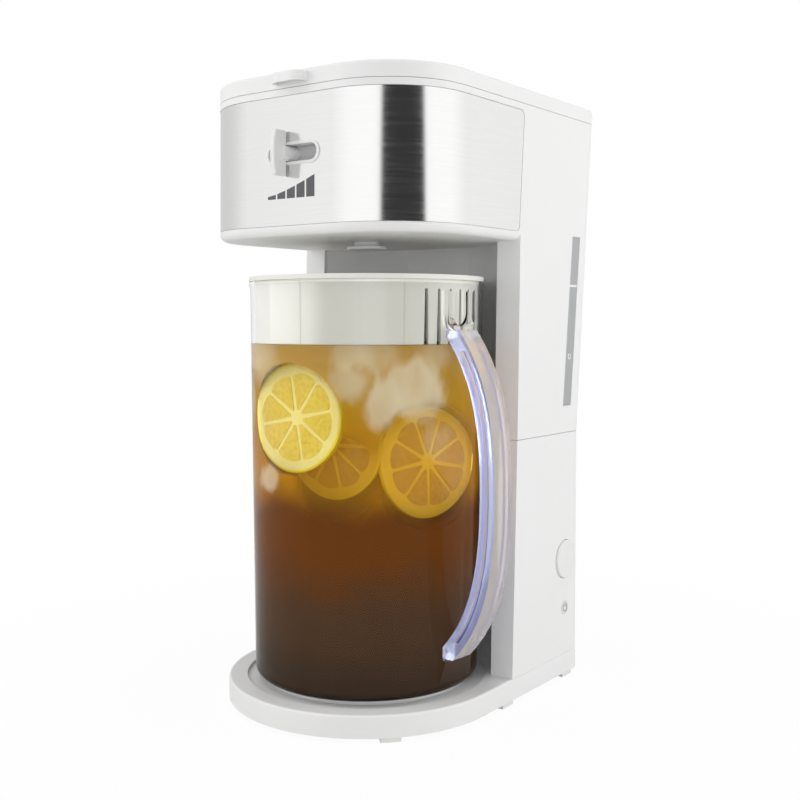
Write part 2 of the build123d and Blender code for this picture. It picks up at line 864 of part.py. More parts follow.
def make_strength_lever():
    low_z, high_z = slot_z - lever_height / 2, slot_z + lever_height / 2
    front_y, rear_y = lever_front_y, lever_front_y + lever_depth
    bow = ThreePointArc((front_y, low_z), (front_y - lever_bow, slot_z), (front_y, high_z))
    back = Polyline((front_y, high_z), (rear_y, high_z), (rear_y, low_z), (front_y, low_z))
    side = Plane.YZ * make_face(Curve() + [bow, back])
    grip = Pos(lever_x, 0, 0) * extrude(side, lever_width / 2, both=True)
    grip = fillet(grip.edges(), lever_edge_radius)
    stem = rod_y(lever_x, slot_z, lever_stem_radius, (front_y + rear_y) / 2, stem_end_y)
    pin_end_y = shutter_rear_y + slip_gap + clip_thickness + pin_past_clip
    pin = rod_y(lever_x, slot_z, lever_pin_radius, stem_end_y - cut_past, pin_end_y)
    return grip + stem + pin


def make_lever_shutter():
    plate = block((lever_x - shutter_left, lever_x + shutter_right),
                  (shutter_front_y, shutter_rear_y),
                  (slot_z - shutter_half_height, slot_z + shutter_half_height))
    return plate - rod_y(lever_x, slot_z, lever_pin_radius + slip_gap, shutter_front_y - cut_past,
                         shutter_rear_y + cut_past)


def make_lever_clip():
    low_y = shutter_rear_y + slip_gap
    high_y = low_y + clip_thickness
    ring = rod_y(lever_x, slot_z, clip_radius, low_y, high_y)
    ring -= rod_y(lever_x, slot_z, lever_pin_radius + slip_gap, low_y - cut_past, high_y + cut_past)
    mouth = (lever_x - clip_mouth / 2, lever_x + clip_mouth / 2)
    through = (low_y - cut_past, high_y + cut_past)
    return ring - block(mouth, through, (slot_z - clip_radius - cut_past, slot_z))


# Top lid and hinge

def make_top_lid():
    plan = head_plan(0.0, hinge_y)
    body = prism(plan, lid_low_z, lid_top_z)
    top_edges = body.faces().sort_by(Axis.Z)[-1].edges()
    body = fillet(top_edges.filter_by(lambda edge: edge.center().Y < hinge_y - cut_past), lid_edge_radius)
    barrel_half = head_half_width - lid_edge_radius
    body += rod_x(hinge_y, hinge_z, hinge_radius, -barrel_half, barrel_half)
    cavity_rear = hinge_y - hinge_radius - ear_notch_depth
    body -= prism(head_plan(lid_wall, cavity_rear), lid_low_z - cut_past, lid_top_z - lid_plate)
    tab_plan = Pos(tab_x, 0) * rounded_plan(tab_width / 2, head_front_y - tab_reach, head_front_y + lid_wall,
                                            tab_reach - tab_flat, 0)
    tab_high = lid_top_z - tab_drop
    tab = prism(tab_plan, tab_high - tab_thickness, tab_high)
    tab_edges = tab.faces().sort_by(Axis.Z)[-1].edges()
    tab = fillet(tab_edges.filter_by(lambda edge: edge.center().Y < head_front_y), tab_edge_radius)
    body += tab
    pocket_plan = Pos(tab_x, 0) * rounded_plan(tab_width / 2 - tab_skin, head_front_y - tab_reach + tab_skin,
                                               head_front_y, tab_reach - tab_flat - tab_skin, 0)
    body -= prism(pocket_plan, tab_high - tab_thickness - cut_past, tab_high - tab_skin)
    for sign in (-1, 1):
        notch = ear_width / 2 + moving_gap
        body -= block((sign * ear_x - notch, sign * ear_x + notch),
                      (hinge_y - hinge_radius - ear_notch_depth, hinge_y + hinge_radius + cut_past),
                      (lid_low_z - cut_past, lid_top_z + cut_past))
        half = hinge_pin_length / 2 + pin_end_gap
        body -= rod_x(hinge_y, hinge_z, hinge_pin_radius + slip_gap, sign * ear_x - half, sign * ear_x + half)
    return body


def make_lid_hinge_pins():
    return Compound(children=[
        rod_x(hinge_y, hinge_z, hinge_pin_radius, sign * ear_x - hinge_pin_length / 2,
              sign * ear_x + hinge_pin_length / 2)
        for sign in (-1, 1)
    ])


# Water tank

def tank_block(low_z, high_z, inset):
    """The tank's outer form, or its inside when inset by the tank's wall."""
    plans = []
    for z in (low_z, high_z):
        half = head_half_width - shell_wall - tank_side_gap - inset
        rear = tower_rear_y(z) - shell_wall - tank_rear_gap - inset
        plan = rounded_plan(half, tank_front_y + inset, rear, tank_corner_radius, tank_corner_radius)
        plans.append(Pos(0, 0, z) * plan)
    return loft(plans, ruled=True)


def make_water_tank():
    floor_z, stub_z = tank_bottom_z + tank_wall, tank_bottom_z - tank_stub_length
    tank = tank_block(tank_bottom_z, tank_top_z, 0) - tank_block(floor_z, tank_top_z + cut_past, tank_wall)
    tank += rod_z(tank_outlet_x, tank_outlet_y, tank_stub_radius, stub_z, tank_bottom_z + tank_wall / 2)
    return tank - rod_z(tank_outlet_x, tank_outlet_y, tank_stub_bore, stub_z - cut_past, floor_z + cut_past)


# Brewing pieces

basket_low_z = head_floor_z + outlet_flange_height + seat_gap


def basket_radius(z):
    """Outer radius of the basket's cone."""
    share = (z - basket_low_z) / (basket_top_z - basket_low_z)
    return between(basket_bottom_radius, basket_top_radius, share)


def make_brew_basket():
    floor_z = basket_low_z + basket_wall
    low_z = basket_low_z - basket_neck_length
    return turned([
        (basket_neck_bore, low_z), (basket_neck_radius, low_z), (basket_neck_radius, basket_low_z),
        (basket_bottom_radius, basket_low_z), (basket_top_radius, basket_top_z),
        (basket_flange_radius, basket_top_z), (basket_flange_radius, basket_top_z + basket_wall),
        (basket_top_radius - basket_wall, basket_top_z + basket_wall),
        (basket_radius(floor_z) - basket_wall, floor_z), (basket_neck_bore, floor_z),
    ])


filter_low_z = basket_low_z + basket_wall + filter_base_lift
filter_high_z = basket_top_z + basket_wall + seat_gap


def filter_radius(z):
    """Outer radius of the filter's cone, inside the basket."""
    return basket_radius(z) - basket_wall - filter_gap


def make_filter_frame():
    floor_z = filter_low_z + filter_wall
    rim_z = filter_high_z + filter_rim_height
    frame = turned([
        (0, filter_low_z), (filter_radius(filter_low_z), filter_low_z),
        (filter_radius(filter_high_z), filter_high_z), (filter_rim_radius, filter_high_z),
        (filter_rim_radius, rim_z), (filter_radius(rim_z) - filter_wall, rim_z),
        (filter_radius(floor_z) - filter_wall, floor_z), (0, floor_z),
    ])
    middle_z = (filter_low_z + filter_high_z) / 2
    width = 2 * math.pi * filter_radius(middle_z) / filter_window_count * filter_window_share
    near, far = filter_radius(filter_low_z) - filter_window_past, filter_rim_radius + cut_past
    for index in range(filter_window_count):
        turn = Rot(0, 0, 360 / filter_window_count * index)
        frame -= turn * block((near, far), (-width / 2, width / 2),
                              (middle_z - filter_window_height / 2, middle_z + filter_window_height / 2))
    return frame


def make_filter_mesh():
    low_z = filter_low_z + filter_wall + mesh_floor_gap
    high_z = filter_high_z
    back = filter_wall + mesh_gap
    return turned([
        (filter_radius(low_z) - back - mesh_thickness, low_z), (filter_radius(low_z) - back, low_z),
        (filter_radius(high_z) - back, high_z), (filter_radius(high_z) - back - mesh_thickness, high_z),
    ])


spreader_low_z = filter_high_z + filter_rim_height + seat_gap


def make_water_spreader():
    top_z = spreader_low_z + spreader_thickness
    disc = rod_z(0, 0, spreader_radius, spreader_low_z, top_z)
    disc += tube_z(0, 0, spreader_radius, spreader_radius - spreader_rim_width, top_z - spreader_rim_root,
                   top_z + spreader_rim)
    holes = []
    for ring in range(spreader_ring_count):
        radius = spreader_first_ring + spreader_ring_step * ring
        count = spreader_holes_per_ring * (ring + 1)
        for index in range(count):
            angle = 2 * math.pi * index / count
            holes.append(rod_z(radius * math.cos(angle), radius * math.sin(angle), spreader_hole_radius,
                               spreader_low_z - cut_past, top_z + cut_past))
    return disc - holes


def make_drip_outlet():
    low_z = head_bottom_z - outlet_drop
    flange_z = head_floor_z + outlet_flange_height
    seat_z = basket_low_z - basket_neck_length - neck_end_gap
    outlet = rod_z(0, 0, outlet_rim_radius, low_z, low_z + outlet_rim_height)
    outlet = fillet(outlet.edges(), outlet_edge_radius)
    outlet += rod_z(0, 0, outlet_radius, low_z, head_floor_z)
    outlet += rod_z(0, 0, outlet_flange_radius, head_floor_z, flange_z)
    outlet -= rod_z(0, 0, outlet_bore, low_z - cut_past, flange_z + cut_past)
    return outlet - rod_z(0, 0, basket_neck_radius + neck_side_gap, seat_z, flange_z + cut_past)


# Check valve, heater and pipes

valve_top_z = tank_bottom_z - valve_grip
valve_chamber_top_z = tank_bottom_z - tank_stub_length - valve_stub_gap
valve_chamber_low_z = valve_chamber_top_z - valve_chamber_height
valve_low_z = valve_chamber_low_z - valve_floor
nipple_low_z = valve_low_z - valve_nipple_length
ball_z = valve_chamber_low_z + math.sqrt(ball_radius**2 - ball_seat_radius**2) + ball_rest_gap


def make_check_valve():
    x, y = tank_outlet_x, tank_outlet_y
    body = rod_z(x, y, valve_radius, valve_low_z, valve_top_z)
    body += rod_z(x, y, pipe_radius, nipple_low_z, valve_low_z)
    body -= rod_z(x, y, tank_stub_radius + slip_gap, valve_chamber_top_z + valve_ledge,
                  valve_top_z + cut_past)
    body -= rod_z(x, y, tank_stub_bore, valve_chamber_low_z, valve_top_z)
    body -= rod_z(x, y, valve_chamber_radius, valve_chamber_low_z, valve_chamber_top_z)
    return body - rod_z(x, y, ball_seat_radius, nipple_low_z - cut_past, valve_chamber_low_z + cut_past)


def make_check_ball():
    return Pos(tank_outlet_x, tank_outlet_y, ball_z) * Sphere(ball_radius)


def make_cold_hose():
    low_z, high_z = heater_end_z - sleeve_overlap, valve_low_z - seat_gap
    return tube_z(tank_outlet_x, tank_outlet_y, hose_radius, pipe_sleeve_radius, low_z, high_z)


def make_heater_tube():
    y = tank_outlet_y
    points = [(-heater_x, y, heater_end_z), (-heater_x, y, heater_z), (heater_x, y, heater_z),
              (heater_x, y, heater_end_z)]
    return pipe_along(points, heater_bend, pipe_radius, pipe_bore)


element_z = heater_z - pipe_radius - element_radius - touch_gap
element_half = heater_x - heater_bend


def make_heater_element():
    y = tank_outlet_y
    rod = rod_x(y, element_z, element_radius, -element_half, element_half)
    reach = element_half + element_pin_length
    return rod + rod_x(y, element_z, element_pin_radius, -reach, reach)


def make_heater_saddles():
    y = tank_outlet_y
    saddles = []
    for sign in (-1, 1):
        x = sign * saddle_x
        low_x, high_x = x - saddle_width / 2, x + saddle_width / 2
        saddle = block((low_x, high_x), (y - saddle_depth / 2, y + saddle_depth / 2),
                       (base_top_z, heater_z + saddle_rise))
        low_x, high_x = low_x - cut_past, high_x + cut_past
        saddle -= rod_x(y, heater_z, pipe_radius + slip_gap, low_x, high_x)
        saddle -= rod_x(y, element_z, element_radius + slip_gap, low_x, high_x)
        throat = (y - saddle_throat / 2, y + saddle_throat / 2)
        saddle -= block((low_x, high_x), throat, (element_z, heater_z))
        saddles.append(saddle)
    return Compound(children=saddles)


def make_thermostat():
    low_z = heater_z + pipe_radius + touch_gap
    top_z = low_z + thermostat_height
    body = rod_z(0, tank_outlet_y, thermostat_radius, low_z, top_z)
    across = (tank_outlet_y - blade_width / 2, tank_outlet_y + blade_width / 2)
    half = blade_thickness / 2
    for x in (-blade_offset, blade_offset):
        body += block((x - half, x + half), across, (top_z, top_z + blade_height))
    return body


def make_thermal_fuse():
    low_z = heater_z + heater_bend
    y = tank_outlet_y - pipe_radius - fuse_radius - touch_gap
    return rod_z(heater_x, y, fuse_radius, low_z, low_z + fuse_length)


def make_riser_tube():
    points = [(heater_x, tank_outlet_y, heater_end_z - sleeve_overlap),
              (heater_x, tank_outlet_y, riser_shift_low_z),
              (riser_x, riser_y, riser_shift_high_z), (riser_x, riser_y, riser_top_z)]
    return pipe_along(points, riser_bend, hose_radius, pipe_sleeve_radius)


def make_hot_spout():
    points = [(riser_x, riser_y, riser_top_z - sleeve_overlap), (riser_x, riser_y, spout_z),
              (spout_end_x, spout_end_y, spout_z)]
    spout = pipe_along(points, spout_bend, pipe_radius, pipe_bore)
    spout += rod_z(spout_end_x, spout_end_y, pipe_radius, spout_end_z, spout_z + pipe_radius)
    return spout - rod_z(spout_end_x, spout_end_y, pipe_bore, spout_end_z - cut_past, spout_z)


def make_hose_clamps():
    places = [
        (tank_outlet_x, tank_outlet_y, nipple_low_z + clamp_inset),
        (tank_outlet_x, tank_outlet_y, heater_end_z - sleeve_overlap + clamp_inset),
        (heater_x, tank_outlet_y, heater_end_z - sleeve_overlap + clamp_inset),
        (riser_x, riser_y, riser_top_z - clamp_height - clamp_inset),
    ]
    inner = hose_radius + slip_gap
    return Compound(children=[tube_z(x, y, clamp_radius, inner, z, z + clamp_height) for x, y, z in places])


# Switch, lamp and wiring

def make_power_switch():
    body = block((switch_inner_x, switch_outer_x), (button_y - switch_width / 2, button_y + switch_width / 2),
                 (button_z - switch_half_height + seat_gap, button_z + switch_half_height - seat_gap))
    for offset in (-switch_blade_offset, switch_blade_offset):
        z = button_z + offset
        body += block((switch_tip_x, switch_inner_x),
                      (button_y - blade_width / 2, button_y + blade_width / 2),
                      (z - blade_thickness / 2, z + blade_thickness / 2))
    return body


def make_power_button():
    face_x = tower_half_width(button_z) + button_proud
    flange_low_x = button_flange_x - button_flange_height
    body = rod_x(button_y, button_z, button_radius, flange_low_x, face_x)
    body = fillet(body.faces().sort_by(Axis.X)[-1].edges(), button_edge_radius)
    body += rod_x(button_y, button_z, button_radius + button_flange, flange_low_x, button_flange_x)
    return body + rod_x(button_y, button_z, button_stem_radius, button_stem_x, button_flange_x)


def make_indicator_lens():
    wall_x = tower_half_width(lamp_z)
    inner_x = wall_x - shell_wall - seat_gap
    lens = rod_x(button_y, lamp_z, lens_radius, inner_x - lens_flange, wall_x + lens_proud)
    return lens + rod_x(button_y, lamp_z, lens_flange_radius, inner_x - lens_flange, inner_x)


def make_indicator_lamp():
    high_x = tower_half_width(lamp_z) - shell_wall - seat_gap - lens_flange - lamp_end_gap
    return rod_x(button_y, lamp_z, lamp_radius, high_x - lamp_length, high_x)


def make_terminal_block():
    top_z = base_top_z + block_height
    body = block((block_x - block_length / 2, block_x + block_length / 2),
                 (block_y - block_depth / 2, block_y + block_depth / 2), (base_top_z, top_z))
    for offset in (-block_hole_pitch, 0, block_hole_pitch):
        x = block_x + offset
        body -= rod_z(x, block_y, block_hole_radius, top_z - block_hole_depth, top_z + cut_past)
    return body


def make_wiring():
    block_rear = block_y + block_depth / 2 + slip_gap
    block_top = base_top_z + block_height + slip_gap
    y = tank_outlet_y
    pin = element_half + element_pin_length + slip_gap
    end_x = switch_inner_x - slip_gap
    tail_x = switch_inner_x - wire_tail
    rise_x, rise_z = -pin - wire_sweep, block_top + wire_lead
    turn_x = -pin - wire_lead
    to_element = [(rise_x, block_y, block_top), (rise_x, block_y, rise_z),
                  (turn_x, block_y + wire_lead, rise_z), (turn_x, y, element_z), (-pin, y, element_z)]
    front_y, lead_x = block_y + wire_front, pin + wire_lead
    to_switch = [(pin, y, element_z), (lead_x, y, element_z), (lead_x, front_y, element_z + wire_sweep),
                 (tail_x, front_y, button_z - wire_lead), (tail_x, button_y, button_z),
                 (end_x, button_y, button_z)]
    second_y, back_y = button_y + wire_tail, y + saddle_depth / 2 + wire_back
    entry_z = base_top_z + block_height / 2
    to_block = [(end_x, second_y, button_z), (tail_x, second_y, button_z), (tail_x, back_y, entry_z),
                (block_x, back_y, entry_z), (block_x, block_rear, entry_z)]
    return Compound(children=[pipe_along(points, wire_bend, wire_radius)
                              for points in (to_element, to_switch, to_block)])


# Pitcher

def pitcher_outer():
    """Outside of the pitcher as a solid, with its rounded foot."""
    body = turned([(0, pitcher_bottom_z), (pitcher_radius(pitcher_bottom_z), pitcher_bottom_z),
                   (pitcher_rim_radius, pitcher_rim_z), (0, pitcher_rim_z)])
    body = fillet(body.faces().sort_by(Axis.Z)[0].edges(), pitcher_foot_radius)
    return body + rod_z(0, 0, pitcher_lip_radius, pitcher_rim_z - rim_bead_height, pitcher_rim_z)


def pitcher_inner():
    """Inside of the pitcher as a solid."""
    floor_z = pitcher_bottom_z + pitcher_floor
    top_z = pitcher_rim_z + cut_past
    body = turned([(0, floor_z), (pitcher_radius(floor_z) - pitcher_wall, floor_z),
                   (pitcher_radius(top_z) - pitcher_wall, top_z), (0, top_z)])
    return fillet(body.faces().sort_by(Axis.Z)[0].edges(), pitcher_foot_radius - pitcher_wall)


def pour_spout(grow, top_z):
    """Upside-down half cone of the pouring lip, on the side away from the handle."""
    radius = spout_width_radius - grow
    centre = pitcher_rim_radius + spout_reach - spout_width_radius
    cone = Cone(spout_tip_radius, radius, spout_height)
    return Pos(-centre, 0, top_z - spout_height / 2) * cone


def handle_mounts():
    """The two bosses on the wall that carry the handle, before they are turned into place."""
    base = pitcher_radius(handle_top_z)
    half = mount_width / 2
    upper = block((base - mount_root, base + mount_proud), (-half, half), (handle_top_z, mount_top_z))
    radius = mount_pocket_width / 2
    pocket_z = handle_top_z + mount_pocket_lift + radius
    far = base + mount_proud + cut_past
    pocket = block((base, far), (-radius, radius), (pocket_z, mount_top_z + cut_past))
    pocket += rod_x(0, pocket_z, radius, base, far)
    corner_edges = upper.edges().filter_by(Axis.X).group_by(Axis.Z)[0]
    upper = fillet(corner_edges, mount_corner_radius) - pocket
    root = pitcher_radius(lower_mount_z) - mount_root
    reach = pitcher_radius(handle_bottom_z) + lower_mount_proud
    top_z = handle_bottom_z - mount_gap
    side = Plane.XZ * make_face(Polyline((root, lower_mount_z), (reach - lower_mount_taper, lower_mount_z),
                                         (reach, top_z), (root, top_z), close=True))
    lower = extrude(side, half, both=True)
    return [Pos(0, 0, mount_gap) * upper, lower]


def make_pitcher():
    body = pitcher_outer() + pour_spout(0.0, pitcher_rim_z)
    for mount in handle_mounts():
        body += Rot(0, 0, -handle_turn) * mount
    body -= pitcher_inner()
    return body - pour_spout(pitcher_wall, pitcher_rim_z + slip_gap)


def handle_curve(inward):
    """The handle's bow in side view, moved towards the pitcher by a distance."""
    middle_z = (handle_top_z + handle_bottom_z) / 2
    half = (handle_top_z - handle_bottom_z) / 2
    reach = handle_outer_reach - inward
    top = pitcher_radius(handle_top_z) + handle_top_proud - inward * handle_top_slant
    bottom = pitcher_radius(handle_bottom_z) + handle_bottom_proud - inward * handle_bottom_slant
    knee = half * handle_knee_height
    top_knee = (between(top, reach, handle_knee_reach), middle_z + knee)
    bottom_knee = (between(bottom, reach, handle_knee_reach), middle_z - knee)
    points = [(top, handle_top_z), top_knee, (reach, middle_z), bottom_knee, (bottom, handle_bottom_z)]
    return Spline(*points)


def handle_strip(outer_inward, inner_inward):
    """Side view of the handle between two curves."""
    outer = handle_curve(outer_inward)
    inner = handle_curve(inner_inward)
    ends = [Line(outer @ 0, inner @ 0), Line(outer @ 1, inner @ 1)]
    return Plane.XZ * make_face(Curve() + [outer, inner] + ends)


def make_pitcher_handle():
    handle = extrude(handle_strip(0, handle_thickness), handle_width / 2, both=True)
    side = (handle_thickness - handle_groove_width) / 2
    groove = extrude(handle_strip(side, side + handle_groove_width), handle_width, both=True)
    keep, far = handle_width / 2 - handle_groove_depth, handle_outer_reach + cut_far
    groove -= block((0, far), (-keep, keep), (0, handle_top_z + cut_far))
    groove &= block((0, far), (-handle_width, handle_width),
                    (handle_bottom_z + handle_groove_low_gap, handle_top_z - handle_groove_top_gap))
    handle -= groove
    wall = turned([(0, 0), (pitcher_radius(0) + slip_gap, 0),
                   (pitcher_radius(pitcher_rim_z) + slip_gap, pitcher_rim_z), (0, pitcher_rim_z)])
    return Rot(0, 0, -handle_turn) * (handle - wall)


def make_pitcher_lid():
    low_z, high_z = plid_low_z, plid_top_z
    outer_top = pitcher_radius(low_z) - pitcher_wall - skirt_gap
    outer_low = pitcher_radius(skirt_low_z) - pitcher_wall - skirt_gap
    inner_top, inner_low = outer_top - skirt_thickness, outer_low - skirt_thickness
    dish_z = low_z - dish_depth
    dish_top_z = dish_z + plid_thickness
    lid = turned([
        (drip_hole_radius, dish_z), (dish_radius, dish_z), (dish_radius + dish_slant, low_z),
        (inner_top, low_z), (inner_low, skirt_low_z), (outer_low, skirt_low_z), (outer_top, low_z),
        (pitcher_lip_radius, low_z),
        (pitcher_lip_radius, high_z), (dish_radius, high_z), (dish_radius - dish_slant, dish_top_z),
        (drip_hole_radius, dish_top_z),
    ])
    slot_bottom, near, far = skirt_low_z - cut_past, inner_low - cut_past, outer_top + cut_past
    half_top, half_low = comb_slot_top_width / 2, comb_slot_low_width / 2
    slot_top = comb_top_z - half_top
    slot_face = Plane.YZ * make_face(Polyline((-half_low, slot_bottom), (half_low, slot_bottom),
                                              (half_top, slot_top), (-half_top, slot_top), close=True))
    slot = Pos(near, 0, 0) * extrude(slot_face, far - near)
    slot += rod_x(0, slot_top, half_top, near, far)
    for index in range(comb_count):
        angle = comb_middle - 90 + (index - (comb_count - 1) / 2) * comb_pitch
        lid -= Rot(0, 0, angle) * slot
    root = inner_low + skirt_thickness / 2
    rib_face = Plane.XZ * make_face(Polyline((root, skirt_low_z), (outer_low + skirt_rib_proud, skirt_low_z),
                                             (outer_top + skirt_rib_proud, low_z), (root, low_z), close=True))
    rib = extrude(rib_face, skirt_rib_width / 2, both=True)
    for turn in skirt_rib_turns:
        lid += Rot(0, 0, turn) * rib
    chord_x = math.sqrt(inner_low**2 - (pour_gap_width / 2)**2) - cut_past
    half = pour_gap_width / 2
    return lid - block((-far, -chord_x), (-half, half), (slot_bottom, low_z - pour_gap_top))


# All pieces, by name

makers = {
    "base": make_base,
    "base_cover": make_base_cover,
    "base_screws": make_base_screws,
    "feet": make_feet,
    "lower_housing": make_lower_housing,
    "tower_screws": make_tower_screws,
    "rear_panel": make_rear_panel,
    "rear_screws": make_rear_screws,
    "cord_gland": make_cord_gland,
    "upper_housing": make_upper_housing,
    "housing_screws": make_housing_screws,
    "steel_band": make_steel_band,
    "slot_bezel": make_slot_bezel,
    "strength_lever": make_strength_lever,
    "lever_shutter": make_lever_shutter,
    "lever_clip": make_lever_clip,
    "top_lid": make_top_lid,
    "lid_hinge_pins": make_lid_hinge_pins,
    "water_tank": make_water_tank,
    "water_window": make_water_window,
    "brew_basket": make_brew_basket,
    "filter_frame": make_filter_frame,
    "filter_mesh": make_filter_mesh,
    "water_spreader": make_water_spreader,
    "drip_outlet": make_drip_outlet,
    "check_valve": make_check_valve,
    "check_ball": make_check_ball,
    "cold_hose": make_cold_hose,
    "heater_tube": make_heater_tube,
    "heater_element": make_heater_element,
    "heater_saddles": make_heater_saddles,
    "thermostat": make_thermostat,
    "thermal_fuse": make_thermal_fuse,
    "riser_tube": make_riser_tube,
    "hot_spout": make_hot_spout,
    "hose_clamps": make_hose_clamps,
    "power_switch": make_power_switch,
    "power_button": make_power_button,
    "indicator_lens": make_indicator_lens,
    "indicator_lamp": make_indicator_lamp,
    "terminal_block": make_terminal_block,
    "wiring": make_wiring,
    "pitcher": make_pitcher,
    "pitcher_handle": make_pitcher_handle,
    "pitcher_lid": make_pitcher_lid,
}

pieces = {name: make() for name, make in makers.items()}
whole = Compound(children=[Compound(piece.wrapped) for piece in pieces.values()]).bounding_box()
origin_shift = Pos(-(whole.min.X + whole.max.X) / 2, -(whole.min.Y + whole.max.Y) / 2, 0)
for name, piece in pieces.items():
    export_step(origin_shift * piece, f"parts/{name}.step")
print("origin shift", tuple(round(v, 3) for v in origin_shift.position))
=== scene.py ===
import json
import math

import bmesh
import bpy
from mathutils import Matrix, Vector, noise


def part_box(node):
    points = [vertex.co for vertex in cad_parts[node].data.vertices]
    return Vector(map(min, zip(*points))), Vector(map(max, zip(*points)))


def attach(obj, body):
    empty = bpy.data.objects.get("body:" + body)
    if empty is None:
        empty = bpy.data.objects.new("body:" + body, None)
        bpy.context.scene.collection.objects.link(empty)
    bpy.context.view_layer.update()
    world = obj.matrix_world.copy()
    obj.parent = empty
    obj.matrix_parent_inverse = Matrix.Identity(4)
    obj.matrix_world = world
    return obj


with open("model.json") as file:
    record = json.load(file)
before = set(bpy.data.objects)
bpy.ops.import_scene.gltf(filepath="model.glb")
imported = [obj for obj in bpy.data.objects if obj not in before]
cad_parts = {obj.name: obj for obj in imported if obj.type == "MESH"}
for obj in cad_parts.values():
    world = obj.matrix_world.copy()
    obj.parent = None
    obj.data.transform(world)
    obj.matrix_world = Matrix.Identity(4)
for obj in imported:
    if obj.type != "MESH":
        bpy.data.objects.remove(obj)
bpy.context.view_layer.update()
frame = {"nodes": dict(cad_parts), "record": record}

MM = 0.001

# Places read from the frame, in metres
lid_low, lid_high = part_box("pitcher_lid")
AXIS_X = (lid_low[0] + lid_high[0]) / 2
AXIS_Y = (lid_low[1] + lid_high[1]) / 2
jug_low, jug_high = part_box("pitcher")
BAND_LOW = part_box("steel_band")[0]
BEZEL_LOW, BEZEL_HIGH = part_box("slot_bezel")
LENS_LOW, LENS_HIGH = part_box("indicator_lens")
WINDOW_LOW, WINDOW_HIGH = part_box("water_window")

# Pitcher, in millimetres from its own axis and from the floor
JUG_WALL = 2.2
JUG_FLOOR = 3.0
JUG_FOOT_RADIUS = 6.0
JUG_LOW_Z = 35.0
JUG_LOW_RADIUS = 70.1
JUG_RIM_Z = 259.8
JUG_RIM_RADIUS = 73.5
DRINK_OVERLAP = 0.9
DRINK_LEVEL_Z = 221.8
CORE_INSET = 22.0
TURN_STEPS = 128


def jug_radius(z):
    """Outer radius of the pitcher's wall at a height, in millimetres."""
    slope = (JUG_RIM_RADIUS - JUG_LOW_RADIUS) / (JUG_RIM_Z - JUG_LOW_Z)
    return JUG_LOW_RADIUS + slope * (z - JUG_LOW_Z)


def at_jug(x, y, z):
    """A point given in millimetres from the pitcher's axis, as a point of the frame."""
    return Vector((AXIS_X + x * MM, AXIS_Y + y * MM, z * MM))


# Material helpers

def new_material(name):
    """A material whose tree has only its output and a Principled shader."""
    material = bpy.data.materials.new(name)
    material.use_nodes = True
    tree = material.node_tree
    tree.nodes.clear()
    output = tree.nodes.new("ShaderNodeOutputMaterial")
    shader = tree.nodes.new("ShaderNodeBsdfPrincipled")
    tree.links.new(shader.outputs["BSDF"], output.inputs["Surface"])
    return material, tree, shader


def node(tree, kind, links=None, **values):
    """Adds a node, sets its properties or input values by name, and links its inputs."""
    made = tree.nodes.new(kind)
    for key, value in values.items():
        if hasattr(made, key):
            setattr(made, key, value)
        else:
            made.inputs[key.replace("_", " ")].default_value = value
    for key, socket in (links or {}).items():
        tree.links.new(socket, made.inputs[key])
    return made


def math_node(tree, operation, first, second=None):
    """A sum, a product or the like of one or two values, each a socket or a number."""
    made = tree.nodes.new("ShaderNodeMath")
    made.operation = operation
    for index, value in enumerate((first, second)):
        if value is None:
            continue
        if isinstance(value, (int, float)):
            made.inputs[index].default_value = value
        else:
            tree.links.new(value, made.inputs[index])
    return made.outputs[0]


def map_range(tree, value, low, high, to_low=0.0, to_high=1.0, smooth=True):
    """A value between low and high, mapped to another range and held at its ends."""
    made = tree.nodes.new("ShaderNodeMapRange")
    made.interpolation_type = "SMOOTHSTEP" if smooth else "LINEAR"
    tree.links.new(value, made.inputs["Value"])
    for key, number in (("From Min", low), ("From Max", high), ("To Min", to_low), ("To Max", to_high)):
        made.inputs[key].default_value = number
    return made.outputs["Result"]


def object_point(tree, scale=(1, 1, 1)):
    """The point on the piece, in its own metres, stretched by a scale."""
    where = tree.nodes.new("ShaderNodeTexCoord")
    mapping = tree.nodes.new("ShaderNodeMapping")
    mapping.inputs["Scale"].default_value = scale
    tree.links.new(where.outputs["Object"], mapping.inputs["Vector"])
    return mapping.outputs["Vector"]


def axes(tree, point):
    """The X, Y and Z outputs of a point."""
    split = tree.nodes.new("ShaderNodeSeparateXYZ")
    tree.links.new(point, split.inputs["Vector"])
    return split.outputs


def dot_product(tree, vector, direction):
    """How far a vector reaches along a direction."""
    made = node(tree, "ShaderNodeVectorMath", operation="DOT_PRODUCT")
    tree.links.new(vector, made.inputs[0])
    made.inputs[1].default_value = direction
    return made.outputs["Value"]


def noise_value(tree, scale, stretch=(1, 1, 1), detail=4.0, roughness=0.5):
    """A smooth noise over the piece; a small stretch makes it long along that axis."""
    made = tree.nodes.new("ShaderNodeTexNoise")
    made.inputs["Scale"].default_value = scale
    made.inputs["Detail"].default_value = detail
    made.inputs["Roughness"].default_value = roughness
    tree.links.new(object_point(tree, stretch), made.inputs["Vector"])
    return made.outputs["Fac"]


def mix_colour(tree, share, first, second, blend="MIX"):
    """A mix of two colours, each a socket or a plain colour. With no share the second has its full effect."""
    made = tree.nodes.new("ShaderNodeMix")
    made.data_type = "RGBA"
    made.blend_type = blend
    if share is None:
        made.inputs["Factor"].default_value = 1.0
    else:
        tree.links.new(share, made.inputs["Factor"])
    for key, value in (("A", first), ("B", second)):
        socket = [s for s in made.inputs if s.name == key and s.type == "RGBA"][0]
        if isinstance(value, tuple):
            socket.default_value = (*value, 1.0)
        else:
            tree.links.new(value, socket)
    return [s for s in made.outputs if s.type == "RGBA"][0]


